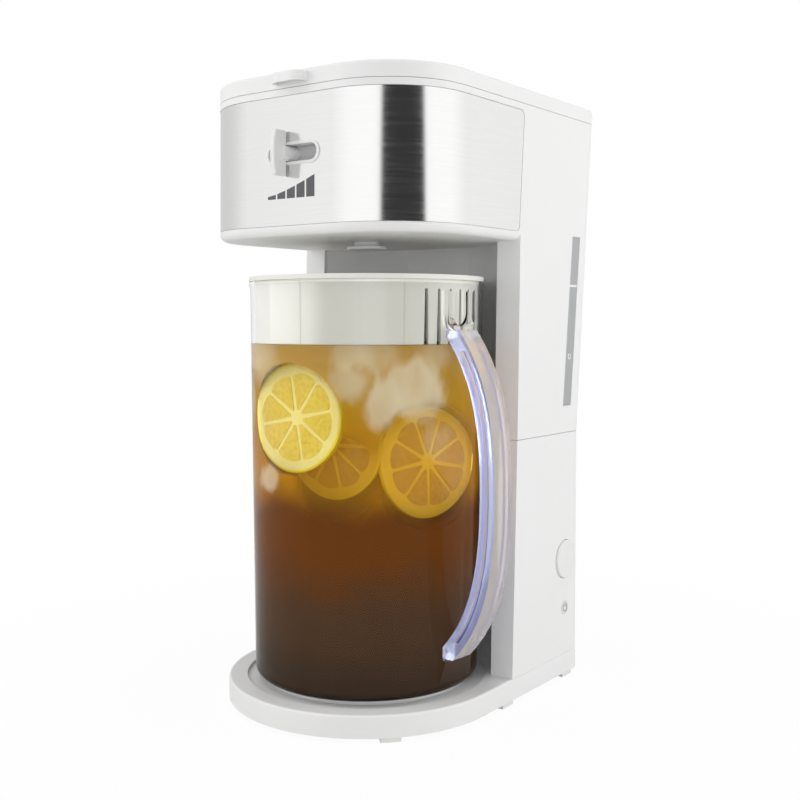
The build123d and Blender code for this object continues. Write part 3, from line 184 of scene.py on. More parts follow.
def bump(tree, shader, height, strength, distance):
    """Fine relief of the surface, from a value between 0 and 1 and the depth of it in metres."""
    made = tree.nodes.new("ShaderNodeBump")
    made.inputs["Strength"].default_value = strength
    made.inputs["Distance"].default_value = distance
    tree.links.new(height, made.inputs["Height"])
    tree.links.new(made.outputs["Normal"], shader.inputs["Normal"])


def tone(colour, factor):
    """A colour made lighter or darker by a factor."""
    return tuple(min(1.0, channel * factor) for channel in colour)


CLOUD_SCALE = 9.0
GLOSS_SPREAD = 0.05
MOULDED_RELIEF = 0.25
BRUSHED_RELIEF = 0.18


def moulded(name, colour, roughness, grain=900.0, depth=0.00002, spread=0.02):
    """Moulded plastic or rubber: a fine grain, with slight changes of tone and gloss."""
    material, tree, shader = new_material(name)
    cloud = noise_value(tree, CLOUD_SCALE, detail=3.0)
    fine = noise_value(tree, grain, detail=2.0)
    colours = mix_colour(tree, cloud, tone(colour, 1.0 - spread), tone(colour, 1.0 + spread))
    tree.links.new(colours, shader.inputs["Base Color"])
    gloss = map_range(tree, fine, 0.2, 0.8, roughness - GLOSS_SPREAD, roughness + GLOSS_SPREAD, smooth=False)
    tree.links.new(gloss, shader.inputs["Roughness"])
    bump(tree, shader, fine, MOULDED_RELIEF, depth)
    return material


def brushed_metal(name, colour, roughness, stretch, grain=1500.0, depth=0.00001):
    """Metal with fine parallel scratches: the noise is stretched along one axis."""
    material, tree, shader = new_material(name)
    shader.inputs["Metallic"].default_value = 1.0
    lines = noise_value(tree, grain, stretch, detail=3.0, roughness=0.7)
    colours = mix_colour(tree, lines, tone(colour, 0.94), tone(colour, 1.04))
    tree.links.new(colours, shader.inputs["Base Color"])
    gloss = map_range(tree, lines, 0.25, 0.75, roughness - 0.05, roughness + 0.06, smooth=False)
    tree.links.new(gloss, shader.inputs["Roughness"])
    bump(tree, shader, lines, BRUSHED_RELIEF, depth)
    return material


CLEAR_SHINE = 0.1
CLEAR_INDEX = 1.2


def clear_plastic(name, colour, roughness):
    """Clear moulded plastic, with faint ripples from the mould."""
    material, tree, shader = new_material(name)
    shader.inputs["Transmission Weight"].default_value = 1.0
    shader.inputs["Specular IOR Level"].default_value = CLEAR_SHINE
    shader.inputs["IOR"].default_value = CLEAR_INDEX
    ripple = noise_value(tree, 40.0, (1, 1, 0.3), detail=2.0)
    colours = mix_colour(tree, ripple, tone(colour, 0.99), tone(colour, 1.01))
    tree.links.new(colours, shader.inputs["Base Color"])
    gloss = map_range(tree, ripple, 0.3, 0.7, roughness, roughness + 0.02, smooth=False)
    tree.links.new(gloss, shader.inputs["Roughness"])
    bump(tree, shader, ripple, 0.05, 0.0002)
    return material


def frosted_plastic(name, colour, roughness, clearness):
    """Milky translucent plastic."""
    material, tree, shader = new_material(name)
    shader.inputs["Transmission Weight"].default_value = clearness
    cloud = noise_value(tree, 60.0, detail=3.0)
    colours = mix_colour(tree, cloud, tone(colour, 0.96), tone(colour, 1.03))
    tree.links.new(colours, shader.inputs["Base Color"])
    gloss = map_range(tree, cloud, 0.3, 0.7, roughness - 0.04, roughness + 0.04, smooth=False)
    tree.links.new(gloss, shader.inputs["Roughness"])
    bump(tree, shader, cloud, 0.1, 0.00005)
    return material


MESH_PITCH = 0.0006
WAVES_PER_UNIT = 6.0


def woven(name, colour):
    """Fine woven mesh: two crossing wave patterns."""
    material, tree, shader = new_material(name)
    shader.inputs["Roughness"].default_value = 0.7
    waves = []
    for axis in ("X", "Z"):
        wave = tree.nodes.new("ShaderNodeTexWave")
        wave.bands_direction = axis
        wave.inputs["Scale"].default_value = 1.0 / MESH_PITCH / WAVES_PER_UNIT
        tree.links.new(object_point(tree), wave.inputs["Vector"])
        waves.append(wave.outputs["Fac"])
    both = math_node(tree, "MAXIMUM", waves[0], waves[1])
    colours = mix_colour(tree, both, tone(colour, 0.55), colour)
    tree.links.new(colours, shader.inputs["Base Color"])
    bump(tree, shader, both, 0.4, 0.0001)
    return material


# Painted shade on the skirt of the pitcher's lid: it turns darker from left to right and under the pitcher's
# rim
SKIRT_LIGHT_X = -0.002
SKIRT_DARK_X = 0.014
SKIRT_LIGHT = (0.8, 0.8, 0.79)
SKIRT_DARK = (0.59, 0.59, 0.57)
SKIRT_TOP_DROP = 1 * MM
SKIRT_TOP_FADE = 1 * MM


def lid_plastic_painted_shade():
    """Cream plastic of the pitcher's lid. Its skirt has painted shade inside the clear wall, under the
    pitcher's rim and darker to the right.
    """
    material = moulded("cream_plastic", (0.83, 0.82, 0.75), 0.34, grain=1200.0, depth=0.00001)
    tree = material.node_tree
    shader = [n for n in tree.nodes if n.type == "BSDF_PRINCIPLED"][0]
    plain = shader.inputs["Base Color"].links[0].from_socket
    place = axes(tree, object_point(tree))
    # Painted shade: darker towards the right, and only under the pitcher's rim
    across = map_range(tree, place["X"], SKIRT_LIGHT_X, SKIRT_DARK_X)
    shade = mix_colour(tree, across, SKIRT_LIGHT, SKIRT_DARK)
    skirt_top = jug_high[2] - SKIRT_TOP_DROP
    above = map_range(tree, place["Z"], skirt_top - SKIRT_TOP_FADE, skirt_top)
    shade = mix_colour(tree, above, shade, (1.0, 1.0, 1.0))
    tree.links.new(mix_colour(tree, None, plain, shade, blend="MULTIPLY"), shader.inputs["Base Color"])
    return material


# One material for each slot of the record
WHITE = (0.84, 0.84, 0.835)
slot_materials = {
    "white_shell": moulded("white_shell", WHITE, 0.42),
    "white_trim": moulded("white_trim", (0.82, 0.82, 0.815), 0.3, grain=1400.0, depth=0.00001),
    "light_grey_plastic": moulded("light_grey_plastic", (0.6, 0.6, 0.6), 0.45),
    "grey_plastic": moulded("grey_plastic", (0.3, 0.3, 0.31), 0.45),
    "dark_plastic": moulded("dark_plastic", (0.03, 0.03, 0.03), 0.4),
    "cream_plastic": lid_plastic_painted_shade(),
    "clear_plastic": clear_plastic("clear_plastic", (0.97, 0.975, 0.98), 0.01),
    "frosted_tank": frosted_plastic("frosted_tank", (0.82, 0.85, 0.86), 0.4, 0.6),
    "smoky_window": frosted_plastic("smoky_window", (0.46, 0.47, 0.475), 0.35, 0.15),
    "lamp_lens": frosted_plastic("lamp_lens", (0.78, 0.78, 0.77), 0.25, 0.0),
    "white_rubber": moulded("white_rubber", (0.78, 0.78, 0.77), 0.7, grain=700.0),
    "silicone": frosted_plastic("silicone", (0.78, 0.77, 0.73), 0.5, 0.3),
    "nylon_mesh": woven("nylon_mesh", (0.72, 0.71, 0.65)),
    "brushed_band": brushed_metal("brushed_band", (0.87, 0.87, 0.865), 0.14, (0.02, 0.02, 1)),
    "screw_steel": brushed_metal("screw_steel", (0.7, 0.7, 0.7), 0.28, (1, 1, 1)),
    "plated_bracket": brushed_metal("plated_bracket", (0.55, 0.55, 0.54), 0.4, (0.05, 1, 1)),
    "aluminium_pipe": brushed_metal("aluminium_pipe", (0.76, 0.76, 0.78), 0.35, (0.05, 1, 1)),
    "wire_insulation": moulded("wire_insulation", (0.04, 0.04, 0.04), 0.5),
}


# The handle stands at an angle from the pitcher's right; its sides have a groove
HANDLE_TURN = 6.0
GROOVE_DEEP = 0.0059
GROOVE_SHALLOW = 0.0066
GROOVE_BLUE = (0.1, 0.12, 0.6)
SIDE_RUN = (0.3, 0.8)
HANDLE_CLEARNESS = 0.7
HANDLE_SHINE = 0.4
HANDLE_INDEX = 1.25


def handle_plastic():
    """Clear plastic with painted reflections: lavender on its moulded sides, blue in their groove, beige on
    its faces.
    """
    material, tree, shader = new_material("handle_plastic")
    turn = math.radians(HANDLE_TURN)
    tangent = (math.sin(turn), math.cos(turn), 0.0)
    where = tree.nodes.new("ShaderNodeTexCoord")
    side = math_node(tree, "ABSOLUTE", dot_product(tree, where.outputs["Normal"], tangent))
    side = map_range(tree, side, *SIDE_RUN)
    middle = AXIS_X * tangent[0] + AXIS_Y * tangent[1]
    offset = math_node(tree, "SUBTRACT", dot_product(tree, where.outputs["Object"], tangent), middle)
    outer = map_range(tree, math_node(tree, "ABSOLUTE", offset), GROOVE_DEEP, GROOVE_SHALLOW)
    # Painted reflections: lavender sides, a blue groove and beige faces, with streaks
    streak = noise_value(tree, 220.0, (1, 1, 0.05), detail=2.0)
    broad = mix_colour(tree, streak, (0.8, 0.74, 0.68), (0.95, 0.92, 0.88))
    edge = mix_colour(tree, streak, (0.5, 0.55, 0.93), (0.78, 0.82, 1.0))
    edge = mix_colour(tree, outer, GROOVE_BLUE, edge)
    tree.links.new(mix_colour(tree, side, broad, edge), shader.inputs["Base Color"])
    tree.links.new(map_range(tree, streak, 0.3, 0.7, 0.06, 0.12), shader.inputs["Roughness"])
    shader.inputs["Transmission Weight"].default_value = HANDLE_CLEARNESS
    shader.inputs["Specular IOR Level"].default_value = HANDLE_SHINE
    shader.inputs["IOR"].default_value = HANDLE_INDEX
    return material


handle_material = handle_plastic()

for part in frame["record"]["subparts"]:
    piece = frame["nodes"][part["node"]]
    chosen = slot_materials[part["material_slot"]]
    if part["node"] == "pitcher_handle":
        chosen = handle_material
    if not piece.material_slots:
        piece.data.materials.append(chosen)
    for material_slot in piece.material_slots:
        material_slot.material = chosen

# Light passes through the clear pieces, which cast no shadow
for name in ("pitcher", "pitcher_handle"):
    frame["nodes"][name].visible_shadow = False


# Mesh helpers

def make_object(name, vertices, faces, materials, face_materials=None, smooth=True):
    """A new piece of the scene from its vertices and faces, with a material index for each face."""
    mesh = bpy.data.meshes.new(name)
    mesh.from_pydata([tuple(v) for v in vertices], [], faces)
    mesh.update()
    for material in materials:
        mesh.materials.append(material)
    if face_materials:
        mesh.polygons.foreach_set("material_index", face_materials)
    mesh.polygons.foreach_set("use_smooth", [smooth] * len(mesh.polygons))
    made = bpy.data.objects.new(name, mesh)
    bpy.context.scene.collection.objects.link(made)
    return made


def lathe(name, profile, material, swell=None):
    """A closed solid of revolution about the pitcher's axis, from (radius, height) in millimetres.
    The first and the last point lie on the axis. swell gives the growth of a radius at an angle."""
    vertices = [at_jug(0, 0, profile[0][1])]
    for radius, z in profile[1:-1]:
        for step in range(TURN_STEPS):
            angle = 2 * math.pi * step / TURN_STEPS
            reach = radius + (swell(angle, radius) if swell else 0.0)
            vertices.append(at_jug(reach * math.cos(angle), reach * math.sin(angle), z))
    vertices.append(at_jug(0, 0, profile[-1][1]))
    rings = len(profile) - 2
    last = len(vertices) - 1
    faces = []
    for step in range(TURN_STEPS):
        after = (step + 1) % TURN_STEPS
        faces.append((0, 1 + after, 1 + step))
        for ring in range(rings - 1):
            low = 1 + ring * TURN_STEPS
            high = low + TURN_STEPS
            faces.append((low + step, low + after, high + after, high + step))
        top = 1 + (rings - 1) * TURN_STEPS
        faces.append((top + step, top + after, last))
    return make_object(name, vertices, faces, [material])


def smooth_by_angle(piece, degrees):
    """Smooth shading that keeps the edges sharper than an angle."""
    mesh = piece.data
    edit = bmesh.new()
    edit.from_mesh(mesh)
    for edge in edit.edges:
        edge.smooth = len(edge.link_faces) == 2 and edge.calc_face_angle() < math.radians(degrees)
    edit.to_mesh(mesh)
    edit.free()


# The brewed drink: a clearer outer layer with ice and lemon in it, over a cloudy core

# Colour of the drink at its bottom, then each further colour with the heights between which it fades in
DRINK_BOTTOM = (0.036, 0.021, 0.012)
DRINK_LAYERS = [
    (0.025, 0.06, (0.062, 0.031, 0.014)),
    (0.06, 0.105, (0.115, 0.034, 0.003)),
    (0.118, 0.143, (0.38, 0.16, 0.001)),
    (0.155, 0.19, (0.4, 0.215, 0.006)),
    (0.19, 0.215, (0.42, 0.25, 0.06)),
]

# Pale cloudy places in the drink where ice has melted: centre, full size and faded size, how dense
MELT_PATCHES = [
    ((62.3, -30.8, 194.0), 13.0, 24.0, 0.9),
    ((50.5, -47.8, 190.0), 8.0, 17.0, 0.85),
    ((36.7, -59.0, 200.0), 6.0, 16.0, 0.6),
    ((36.7, -59.0, 216.0), 5.0, 14.0, 0.55),
    ((65.5, -23.2, 166.0), 6.0, 15.0, 0.55),
    ((-22.2, -65.8, 141.5), 6.0, 13.0, 0.65),
    ((-31.7, -61.8, 214.0), 8.0, 28.0, 0.55),
    ((-46.0, -52.0, 190.0), 6.0, 20.0, 0.6),
    ((46.8, -51.4, 218.0), 6.0, 18.0, 0.4),
    ((66.5, -20.0, 215.0), 6.0, 18.0, 0.4),
]
MELT_DIM = (0.46, 0.33, 0.14)
MELT_PALE = (0.78, 0.72, 0.55)

# Where the drink is clear in front of a lemon slice: centre, full size and faded size, what is left of it
CLEAR_PLACES = [
    ((-2.0, -63.0, 178.5), 31.5, 35.0, 0.15),
    ((60.0, -20.0, 152.0), 28.0, 42.0, 0.36),
    ((26.0, -62.0, 146.0), 18.0, 30.0, 0.45),
]
RAGGED = 0.03

# The drink can't be seen through at its bottom, and above these heights it is slightly clear
VEIL_HEIGHTS = (0.1, 0.145)
VEIL_ABOVE = 0.86


def patch(tree, where, ragged, centre, inner, outer):
    """1 within a distance of a place in the pitcher, 0 farther out, with a ragged soft edge. Millimetres."""
    away = node(tree, "ShaderNodeVectorMath", operation="DISTANCE")
    tree.links.new(where, away.inputs[0])
    away.inputs[1].default_value = at_jug(*centre)
    distance = math_node(tree, "ADD", away.outputs["Value"], ragged)
    return map_range(tree, distance, inner * MM, outer * MM, 1.0, 0.0)


def raggedness(tree, pattern):
    """A shift of an edge to both sides, in metres, from a noise."""
    return math_node(tree, "MULTIPLY", math_node(tree, "SUBTRACT", pattern, 0.5), RAGGED)


def drink_material():
    """Brewed tea: amber near the top, dark brown at the bottom. It is clear where a lemon slice lies near
    the wall, and cloudy elsewhere."""
    material, tree, shader = new_material("brewed_drink")
    where = object_point(tree)
    swirl = noise_value(tree, 26.0, (1, 1, 0.7), detail=3.0)
    height = math_node(tree, "ADD", axes(tree, where)["Z"], raggedness(tree, swirl))
    colours = DRINK_BOTTOM
    for low, high, colour in DRINK_LAYERS:
        colours = mix_colour(tree, map_range(tree, height, low, high), colours, colour)
    wisps = noise_value(tree, 60.0, (1, 1, 0.45), detail=4.0)
    frayed = raggedness(tree, wisps)
    melt = mix_colour(tree, wisps, MELT_DIM, MELT_PALE)
    for centre, inner, outer, density in MELT_PATCHES:
        share = math_node(tree, "MULTIPLY", patch(tree, where, frayed, centre, inner, outer), density)
        colours = mix_colour(tree, share, colours, melt)
    tree.links.new(colours, shader.inputs["Base Color"])
    veil = map_range(tree, height, *VEIL_HEIGHTS, 1.0, VEIL_ABOVE)
    for centre, inner, outer, left_over in CLEAR_PLACES:
        share = patch(tree, where, 0.0, centre, inner, outer)
        taken = math_node(tree, "MULTIPLY", share, 1.0 - left_over)
        veil = math_node(tree, "MULTIPLY", veil, math_node(tree, "SUBTRACT", 1.0, taken))
    tree.links.new(veil, shader.inputs["Alpha"])
    gloss = map_range(tree, swirl, 0.3, 0.7, 0.3, 0.4, smooth=False)
    tree.links.new(gloss, shader.inputs["Roughness"])
    shader.inputs["Specular IOR Level"].default_value = 0.0
    return material


CORE_DARK = (0.12, 0.04, 0.004)
CORE_AMBER = (0.44, 0.2, 0.008)
CORE_AMBER_HEIGHTS = (0.1, 0.17)
SMOKE_COLOUR = (0.55, 0.36, 0.12)
SMOKE_HEIGHTS = (0.15, 0.2)
SMOKE_RUN = (0.45, 0.62)


def core_material():
    """The cloudy middle of the drink, with pale smoky patches of meltwater near the top."""
    material, tree, shader = new_material("drink_core")
    cloud = noise_value(tree, 30.0, detail=2.0)
    height = axes(tree, object_point(tree))["Z"]
    near_top = map_range(tree, height, *SMOKE_HEIGHTS)
    smoke = math_node(tree, "MULTIPLY", map_range(tree, cloud, *SMOKE_RUN), near_top)
    colours = mix_colour(tree, map_range(tree, height, *CORE_AMBER_HEIGHTS), CORE_DARK, CORE_AMBER)
    colours = mix_colour(tree, smoke, colours, SMOKE_COLOUR)
    tree.links.new(colours, shader.inputs["Base Color"])
    gloss = map_range(tree, cloud, 0.3, 0.7, 0.5, 0.7, smooth=False)
    tree.links.new(gloss, shader.inputs["Roughness"])
    shader.inputs["Specular IOR Level"].default_value = 0.0
    return material


FOOT_STEPS = 6
WALL_STEPS = 12
RIM_INSET = 1.5
RIM_DROP = 0.4
TOP_DROP = 0.5


def drink_profile(inset, low_z, high_z, corner):
    """Half outline of the drink, a distance inside the pitcher's outer wall."""
    points = [(0.0, low_z)]
    foot = jug_radius(low_z + corner) - inset
    for step in range(FOOT_STEPS + 1):
        angle = math.pi / 2 * step / FOOT_STEPS
        points.append((foot - corner + corner * math.sin(angle), low_z + corner * (1 - math.cos(angle))))
    for step in range(1, WALL_STEPS + 1):
        z = low_z + corner + (high_z - low_z - corner) * step / WALL_STEPS
        points.append((jug_radius(z) - inset, z))
    rim = jug_radius(high_z) - inset
    points.append((rim - RIM_INSET, high_z - RIM_DROP))
    points.append((rim * 0.5, high_z - TOP_DROP))
    points.append((0.0, high_z - TOP_DROP))
    return points


CORE_CORNER = 8.0
CORE_LIFT = 4.0
CORE_DROP = 2.5
CORE_FLAT_RADIUS = 36.0
CORE_SWELL = 20.0
SLICES_ANGLE = -55.0
SLICES_HALF_ANGLE = 60.0
SWELL_RUN = 18.0


def core_swell(angle, radius):
    """Growth of the core's radius. It nearly reaches the pitcher's wall, except in front and on the right,
    where the slices lie."""
    if radius <= CORE_FLAT_RADIUS:
        return 0.0
    from_slices = abs(math.degrees(math.remainder(angle - math.radians(SLICES_ANGLE), 2 * math.pi)))
    share = min(1.0, max(0.0, (from_slices - SLICES_HALF_ANGLE) / SWELL_RUN))
    return CORE_SWELL * share * share * (3 - 2 * share)


# The drink overlaps the wall a little, so that no gap shows; the core stays inside it
jug_floor_z = jug_low[2] / MM + JUG_FLOOR
drink_outline = drink_profile(JUG_WALL - DRINK_OVERLAP, jug_floor_z - DRINK_OVERLAP, DRINK_LEVEL_Z,
                              JUG_FOOT_RADIUS - JUG_WALL)
core_outline = drink_profile(JUG_WALL + CORE_INSET, jug_floor_z + CORE_LIFT, DRINK_LEVEL_Z - CORE_DROP,
                             CORE_CORNER)
for piece in (lathe("brewed_drink", drink_outline, drink_material()),
              lathe("drink_core", core_outline, core_material(), swell=core_swell)):
    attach(piece, "jug")


def rind_material(name, low, high):
    """Lemon rind with fine pores."""
    material, tree, shader = new_material(name)
    pores = noise_value(tree, 900.0, detail=2.0)
    tree.links.new(mix_colour(tree, pores, low, high), shader.inputs["Base Color"])
    shader.inputs["Roughness"].default_value = 0.4
    bump(tree, shader, pores, 0.3, 0.0002)
    return material


def pith_material(name, low, high):
    """The pale fibrous layer under the rind."""
    material, tree, shader = new_material(name)
    fibres = noise_value(tree, 500.0, detail=3.0)
    tree.links.new(mix_colour(tree, fibres, low, high), shader.inputs["Base Color"])
    shader.inputs["Roughness"].default_value = 0.55
    bump(tree, shader, fibres, 0.2, 0.0001)
    return material


def pulp_material(name, low, high):
    """Juicy pulp: small sacs all over the wedge."""
    material, tree, shader = new_material(name)
    sacs = tree.nodes.new("ShaderNodeTexVoronoi")
    sacs.inputs["Scale"].default_value = 420.0
    tree.links.new(object_point(tree), sacs.inputs["Vector"])
    spots = map_range(tree, sacs.outputs["Distance"], 0.1, 0.8)
    tree.links.new(mix_colour(tree, spots, low, high), shader.inputs["Base Color"])
    shader.inputs["Roughness"].default_value = 0.25
    bump(tree, shader, spots, 0.3, 0.0002)
    return material


# The front slice is fresh, the two deeper ones have taken up the colour of the drink
fresh_lemon = [rind_material("lemon_rind", (0.82, 0.62, 0.0), (0.9, 0.74, 0.02)),
               pith_material("lemon_pith", (0.8, 0.68, 0.16), (0.88, 0.78, 0.3)),
               pulp_material("lemon_pulp", (0.6, 0.42, 0.01), (0.72, 0.55, 0.045))]
steeped_lemon = [rind_material("steeped_rind", (0.84, 0.52, 0.0), (0.92, 0.62, 0.01)),
                 pith_material("steeped_pith", (0.78, 0.44, 0.002), (0.86, 0.54, 0.02)),
                 pulp_material("steeped_pulp", (0.46, 0.21, 0.002), (0.56, 0.3, 0.015))]
RIND, PITH, PULP = range(3)

# A slice's form, in millimetres and as shares of its radius
SLICE_STEPS = 72
SLICE_THICKNESS = 4.5
RIND_SHARE = 0.955
RIND_BEVEL = 0.7
OUT_OF_ROUND = 0.02
PULP_OUTER_SHARE = 0.8
PULP_INNER_SHARE = 0.07
PULP_RISE = 0.35
PULP_SINK = 0.5
SEGMENT_GAP = 0.9
WEDGE_RIM = (-1.0, -0.8, -0.4, 0.0, 0.4, 0.8, 1.0)
WEDGE_CORNER = 0.22
WEDGE_CORNER_START = 0.7
WEDGE_TIP = 0.35
WEDGE_TIP_STEP = 0.5


def slice_disc(radius):
    """Vertices, faces and kinds of a slice's disc of rind and pith, lying flat."""
    half = SLICE_THICKNESS / 2
    rings = [(0.0, half), (radius * RIND_SHARE, half), (radius, half - RIND_BEVEL),
             (radius, RIND_BEVEL - half), (radius * RIND_SHARE, -half), (0.0, -half)]
    vertices, faces, kinds = [], [], []
    for ring_radius, height in rings:
        for step in range(SLICE_STEPS):
            angle = 2 * math.pi * step / SLICE_STEPS
            reach = ring_radius * (1.0 + OUT_OF_ROUND * math.sin(3 * angle + 1.0))
            vertices.append(Vector((reach * math.cos(angle), reach * math.sin(angle), height)))
    for ring in range(len(rings) - 1):
        for step in range(SLICE_STEPS):
            after = (step + 1) % SLICE_STEPS
            a, b = ring * SLICE_STEPS, (ring + 1) * SLICE_STEPS
            faces.append((a + step, b + step, b + after, a + after))
            kinds.append(PITH if ring in (0, len(rings) - 2) else RIND)
    return vertices, faces, kinds


def wedge_outline(radius, middle, width):
    """Outline of one wedge of pulp, as (reach, angle), with rounded outer corners and a blunt tip."""
    outer, inner = radius * PULP_OUTER_SHARE, radius * PULP_INNER_SHARE
    outline = []
    for share in WEDGE_RIM:
        trim = outer * (1 - WEDGE_CORNER * max(0.0, abs(share) - WEDGE_CORNER_START))
        outline.append((trim, middle + width * share * (1 - SEGMENT_GAP / (trim * width))))
    near = inner + SEGMENT_GAP / math.sin(width)
    for share in (1.0, 0.0, -1.0):
        outline.append((near + WEDGE_TIP_STEP * abs(share), middle + width * share * WEDGE_TIP))
    return outline


def lemon_slice(name, centre, facing, tilt, radius, materials, segments=9, turn=0.0):
    """A round slice: a disc of rind and pith with raised wedges of pulp. It is built flat about its own
    axis, in millimetres, then stood up to face an azimuth."""
    half = SLICE_THICKNESS / 2
    vertices, faces, kinds = slice_disc(radius)
    for segment in range(segments):
        middle = 2 * math.pi * (segment + 0.5) / segments + turn
        outline = wedge_outline(radius, middle, math.pi / segments)
        count = len(outline)
        for side in (1, -1):
            start = len(vertices)
            for level in (half + PULP_RISE, half - PULP_SINK):
                for reach, angle in outline:
                    vertices.append(Vector((reach * math.cos(angle), reach * math.sin(angle), side * level)))
            top = list(range(start, start + count))
            faces.append(tuple(top if side > 0 else reversed(top)))
            kinds.append(PULP)
            for index in range(count):
                after = (index + 1) % count
                wall = (start + index, start + count + index, start + count + after, start + after)
                faces.append(wall if side > 0 else tuple(reversed(wall)))
                kinds.append(PULP)
    stand = Matrix.Rotation(math.radians(facing), 4, "Z") @ Matrix.Rotation(math.radians(90 - tilt), 4, "X")
    placed = [stand @ (v * MM) + at_jug(*centre) for v in vertices]
    made = make_object(name, placed, faces, materials, kinds)
    edit = bmesh.new()
    edit.from_mesh(made.data)
    bmesh.ops.remove_doubles(edit, verts=edit.verts, dist=1e-6)
    edit.to_mesh(made.data)
    edit.free()
    smooth_by_angle(made, 50.0)
    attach(made, "jug")


lemon_slice("lemon_slice_front", (-3.5, -60.3, 178.5), 2.0, 3.0, 32.4, fresh_lemon, segments=8, turn=0.2)
lemon_slice("lemon_slice_right", (56.2, -15.6, 152.5), 70.0, 4.0, 33.0, steeped_lemon, turn=0.5)
lemon_slice("lemon_slice_behind", (14.5, -50.0, 163.0), 6.0, -6.0, 33.0, steeped_lemon)


def ice_material():
    """Cloudy ice, clearer in places."""
    material, tree, shader = new_material("ice")
    cloud = noise_value(tree, 70.0, detail=3.0)
    colours = mix_colour(tree, cloud, (0.8, 0.68, 0.45), (0.98, 0.95, 0.86))
    tree.links.new(colours, shader.inputs["Base Color"])
    tree.links.new(map_range(tree, cloud, 0.35, 0.6, 0.4, 0.8), shader.inputs["Alpha"])
    gloss = map_range(tree, cloud, 0.3, 0.7, 0.4, 0.5, smooth=False)
    tree.links.new(gloss, shader.inputs["Roughness"])
    shader.inputs["Specular IOR Level"].default_value = 0.1
    bump(tree, shader, cloud, 0.15, 0.0005)
    return material


ice_surface = ice_material()
ICE_REACH = 69.0
ICE_DRAUGHT = 1.0
ICE_CUTS = 7
ICE_BALL_RADIUS = 0.62
ICE_ROUNDING = 0.45
ICE_DENT = 0.14
ICE_DENT_SCALE = 2.1
ICE_TURN_Z = 1.3
ICE_TURN_X = 0.7
ICE_SEED_STEP = 3.7


def ice_lump(name, centre, size, seed):
    """A half-melted ice cube: a rounded block with uneven faces, in millimetres. It stays in the drink."""
    edit = bmesh.new()
    bmesh.ops.create_cube(edit, size=1.0)
    bmesh.ops.subdivide_edges(edit, edges=edit.edges, cuts=ICE_CUTS, use_grid_fill=True)
    turn = Matrix.Rotation(seed * ICE_TURN_Z, 4, "Z") @ Matrix.Rotation(seed * ICE_TURN_X, 4, "X")
    for vertex in edit.verts:
        point = vertex.co.lerp(vertex.co.normalized() * ICE_BALL_RADIUS, ICE_ROUNDING)
        dent = noise.noise(point * ICE_DENT_SCALE + Vector((seed * ICE_SEED_STEP, 0, 0)))
        point *= 1.0 + ICE_DENT * dent
        point = Vector((point.x * size[0], point.y * size[1], point.z * size[2]))
        place = turn @ point + Vector(centre)
        squeeze = min(1.0, ICE_REACH / math.hypot(place.x, place.y))
        vertex.co = at_jug(place.x * squeeze, place.y * squeeze, min(place.z, DRINK_LEVEL_Z - ICE_DRAUGHT))
    mesh = bpy.data.meshes.new(name)
    edit.to_mesh(mesh)
    edit.free()
    mesh.materials.append(ice_surface)
    mesh.polygons.foreach_set("use_smooth", [True] * len(mesh.polygons))
    made = bpy.data.objects.new(name, mesh)
    bpy.context.scene.collection.objects.link(made)
    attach(made, "jug")


# Centre, size and seed of each lump
ice_places = [
    ((47.0, -31.0, 203.0), (34, 30, 26), 1.0),
    ((30.0, -45.0, 203.0), (28, 24, 34), 2.0),
    ((14.0, -42.0, 203.0), (30, 22, 24), 3.0),
    ((-50.0, -36.0, 147.0), (22, 22, 28), 4.0),
    ((-46.0, -42.0, 200.0), (30, 26, 30), 5.0),
    ((60.0, 6.0, 202.0), (30, 28, 32), 6.0),
    ((8.0, 56.0, 198.0), (30, 24, 28), 7.0),
    ((-40.0, 40.0, 196.0), (28, 26, 30), 8.0),
    ((-60.0, 4.0, 202.0), (26, 28, 28), 9.0),
    ((38.0, 42.0, 188.0), (26, 26, 28), 10.0),
]
for index, (centre, size, seed) in enumerate(ice_places):
    ice_lump(f"ice_{index + 1}", centre, size, seed)


# Printed marks

def ink(name, colour):
    return moulded(name, colour, 0.5, grain=1800.0, depth=0.000005)


dark_ink = ink("dark_ink", (0.1, 0.1, 0.105))
grey_ink = ink("grey_ink", (0.24, 0.24, 0.25))
white_ink = ink("white_ink", (0.9, 0.9, 0.9))
PRINT_THICKNESS = 0.12


def plate(name, outline, to_frame, material, body):
    """A thin flat mark from a 2-D outline; to_frame turns (across, up, out) into a frame point."""
    count = len(outline)
    vertices = [to_frame(a, b, out) for out in (0.0, PRINT_THICKNESS) for a, b in outline]
    faces = [tuple(range(count)), tuple(reversed(range(count, 2 * count)))]
    for index in range(count):
        after = (index + 1) % count
        faces.append((index, count + index, count + after, after))
    made = make_object(name, vertices, faces, [material], smooth=False)
    edit = bmesh.new()
    edit.from_mesh(made.data)
    bmesh.ops.recalc_face_normals(edit, faces=edit.faces)
    edit.to_mesh(made.data)
    edit.free()
    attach(made, body)


def rectangle(left, right, low, high):
    return [(left, low), (right, low), (right, high), (left, high)]


# Strength scale under the lever: five bars that grow to the right, in millimetres from the slot's middle
BAR_COUNT = 5
BAR_LEFT = -19.4
BAR_WIDTH = 6.1
BAR_PITCH = 7.45
BAR_BASE_DROP = 26.0
BAR_FIRST_HEIGHT = 1.7
BAR_LAST_HEIGHT = 12.6
BAR_CURVE = 1.35
slot_middle_x = (BEZEL_LOW[0] + BEZEL_HIGH[0]) / 2
slot_middle_z = (BEZEL_LOW[2] + BEZEL_HIGH[2]) / 2


def on_band(across, up, out):
    """A point on the steel band, from the slot's middle."""
    return Vector((slot_middle_x + across * MM, BAND_LOW[1] - out * MM, slot_middle_z + up * MM))


def scale_height(across):
    """Height of the rising scale at a place; it curves upwards to the right."""
    share = (across - BAR_LEFT) / (BAR_PITCH * (BAR_COUNT - 1) + BAR_WIDTH)
    return BAR_FIRST_HEIGHT + (BAR_LAST_HEIGHT - BAR_FIRST_HEIGHT) * share ** BAR_CURVE


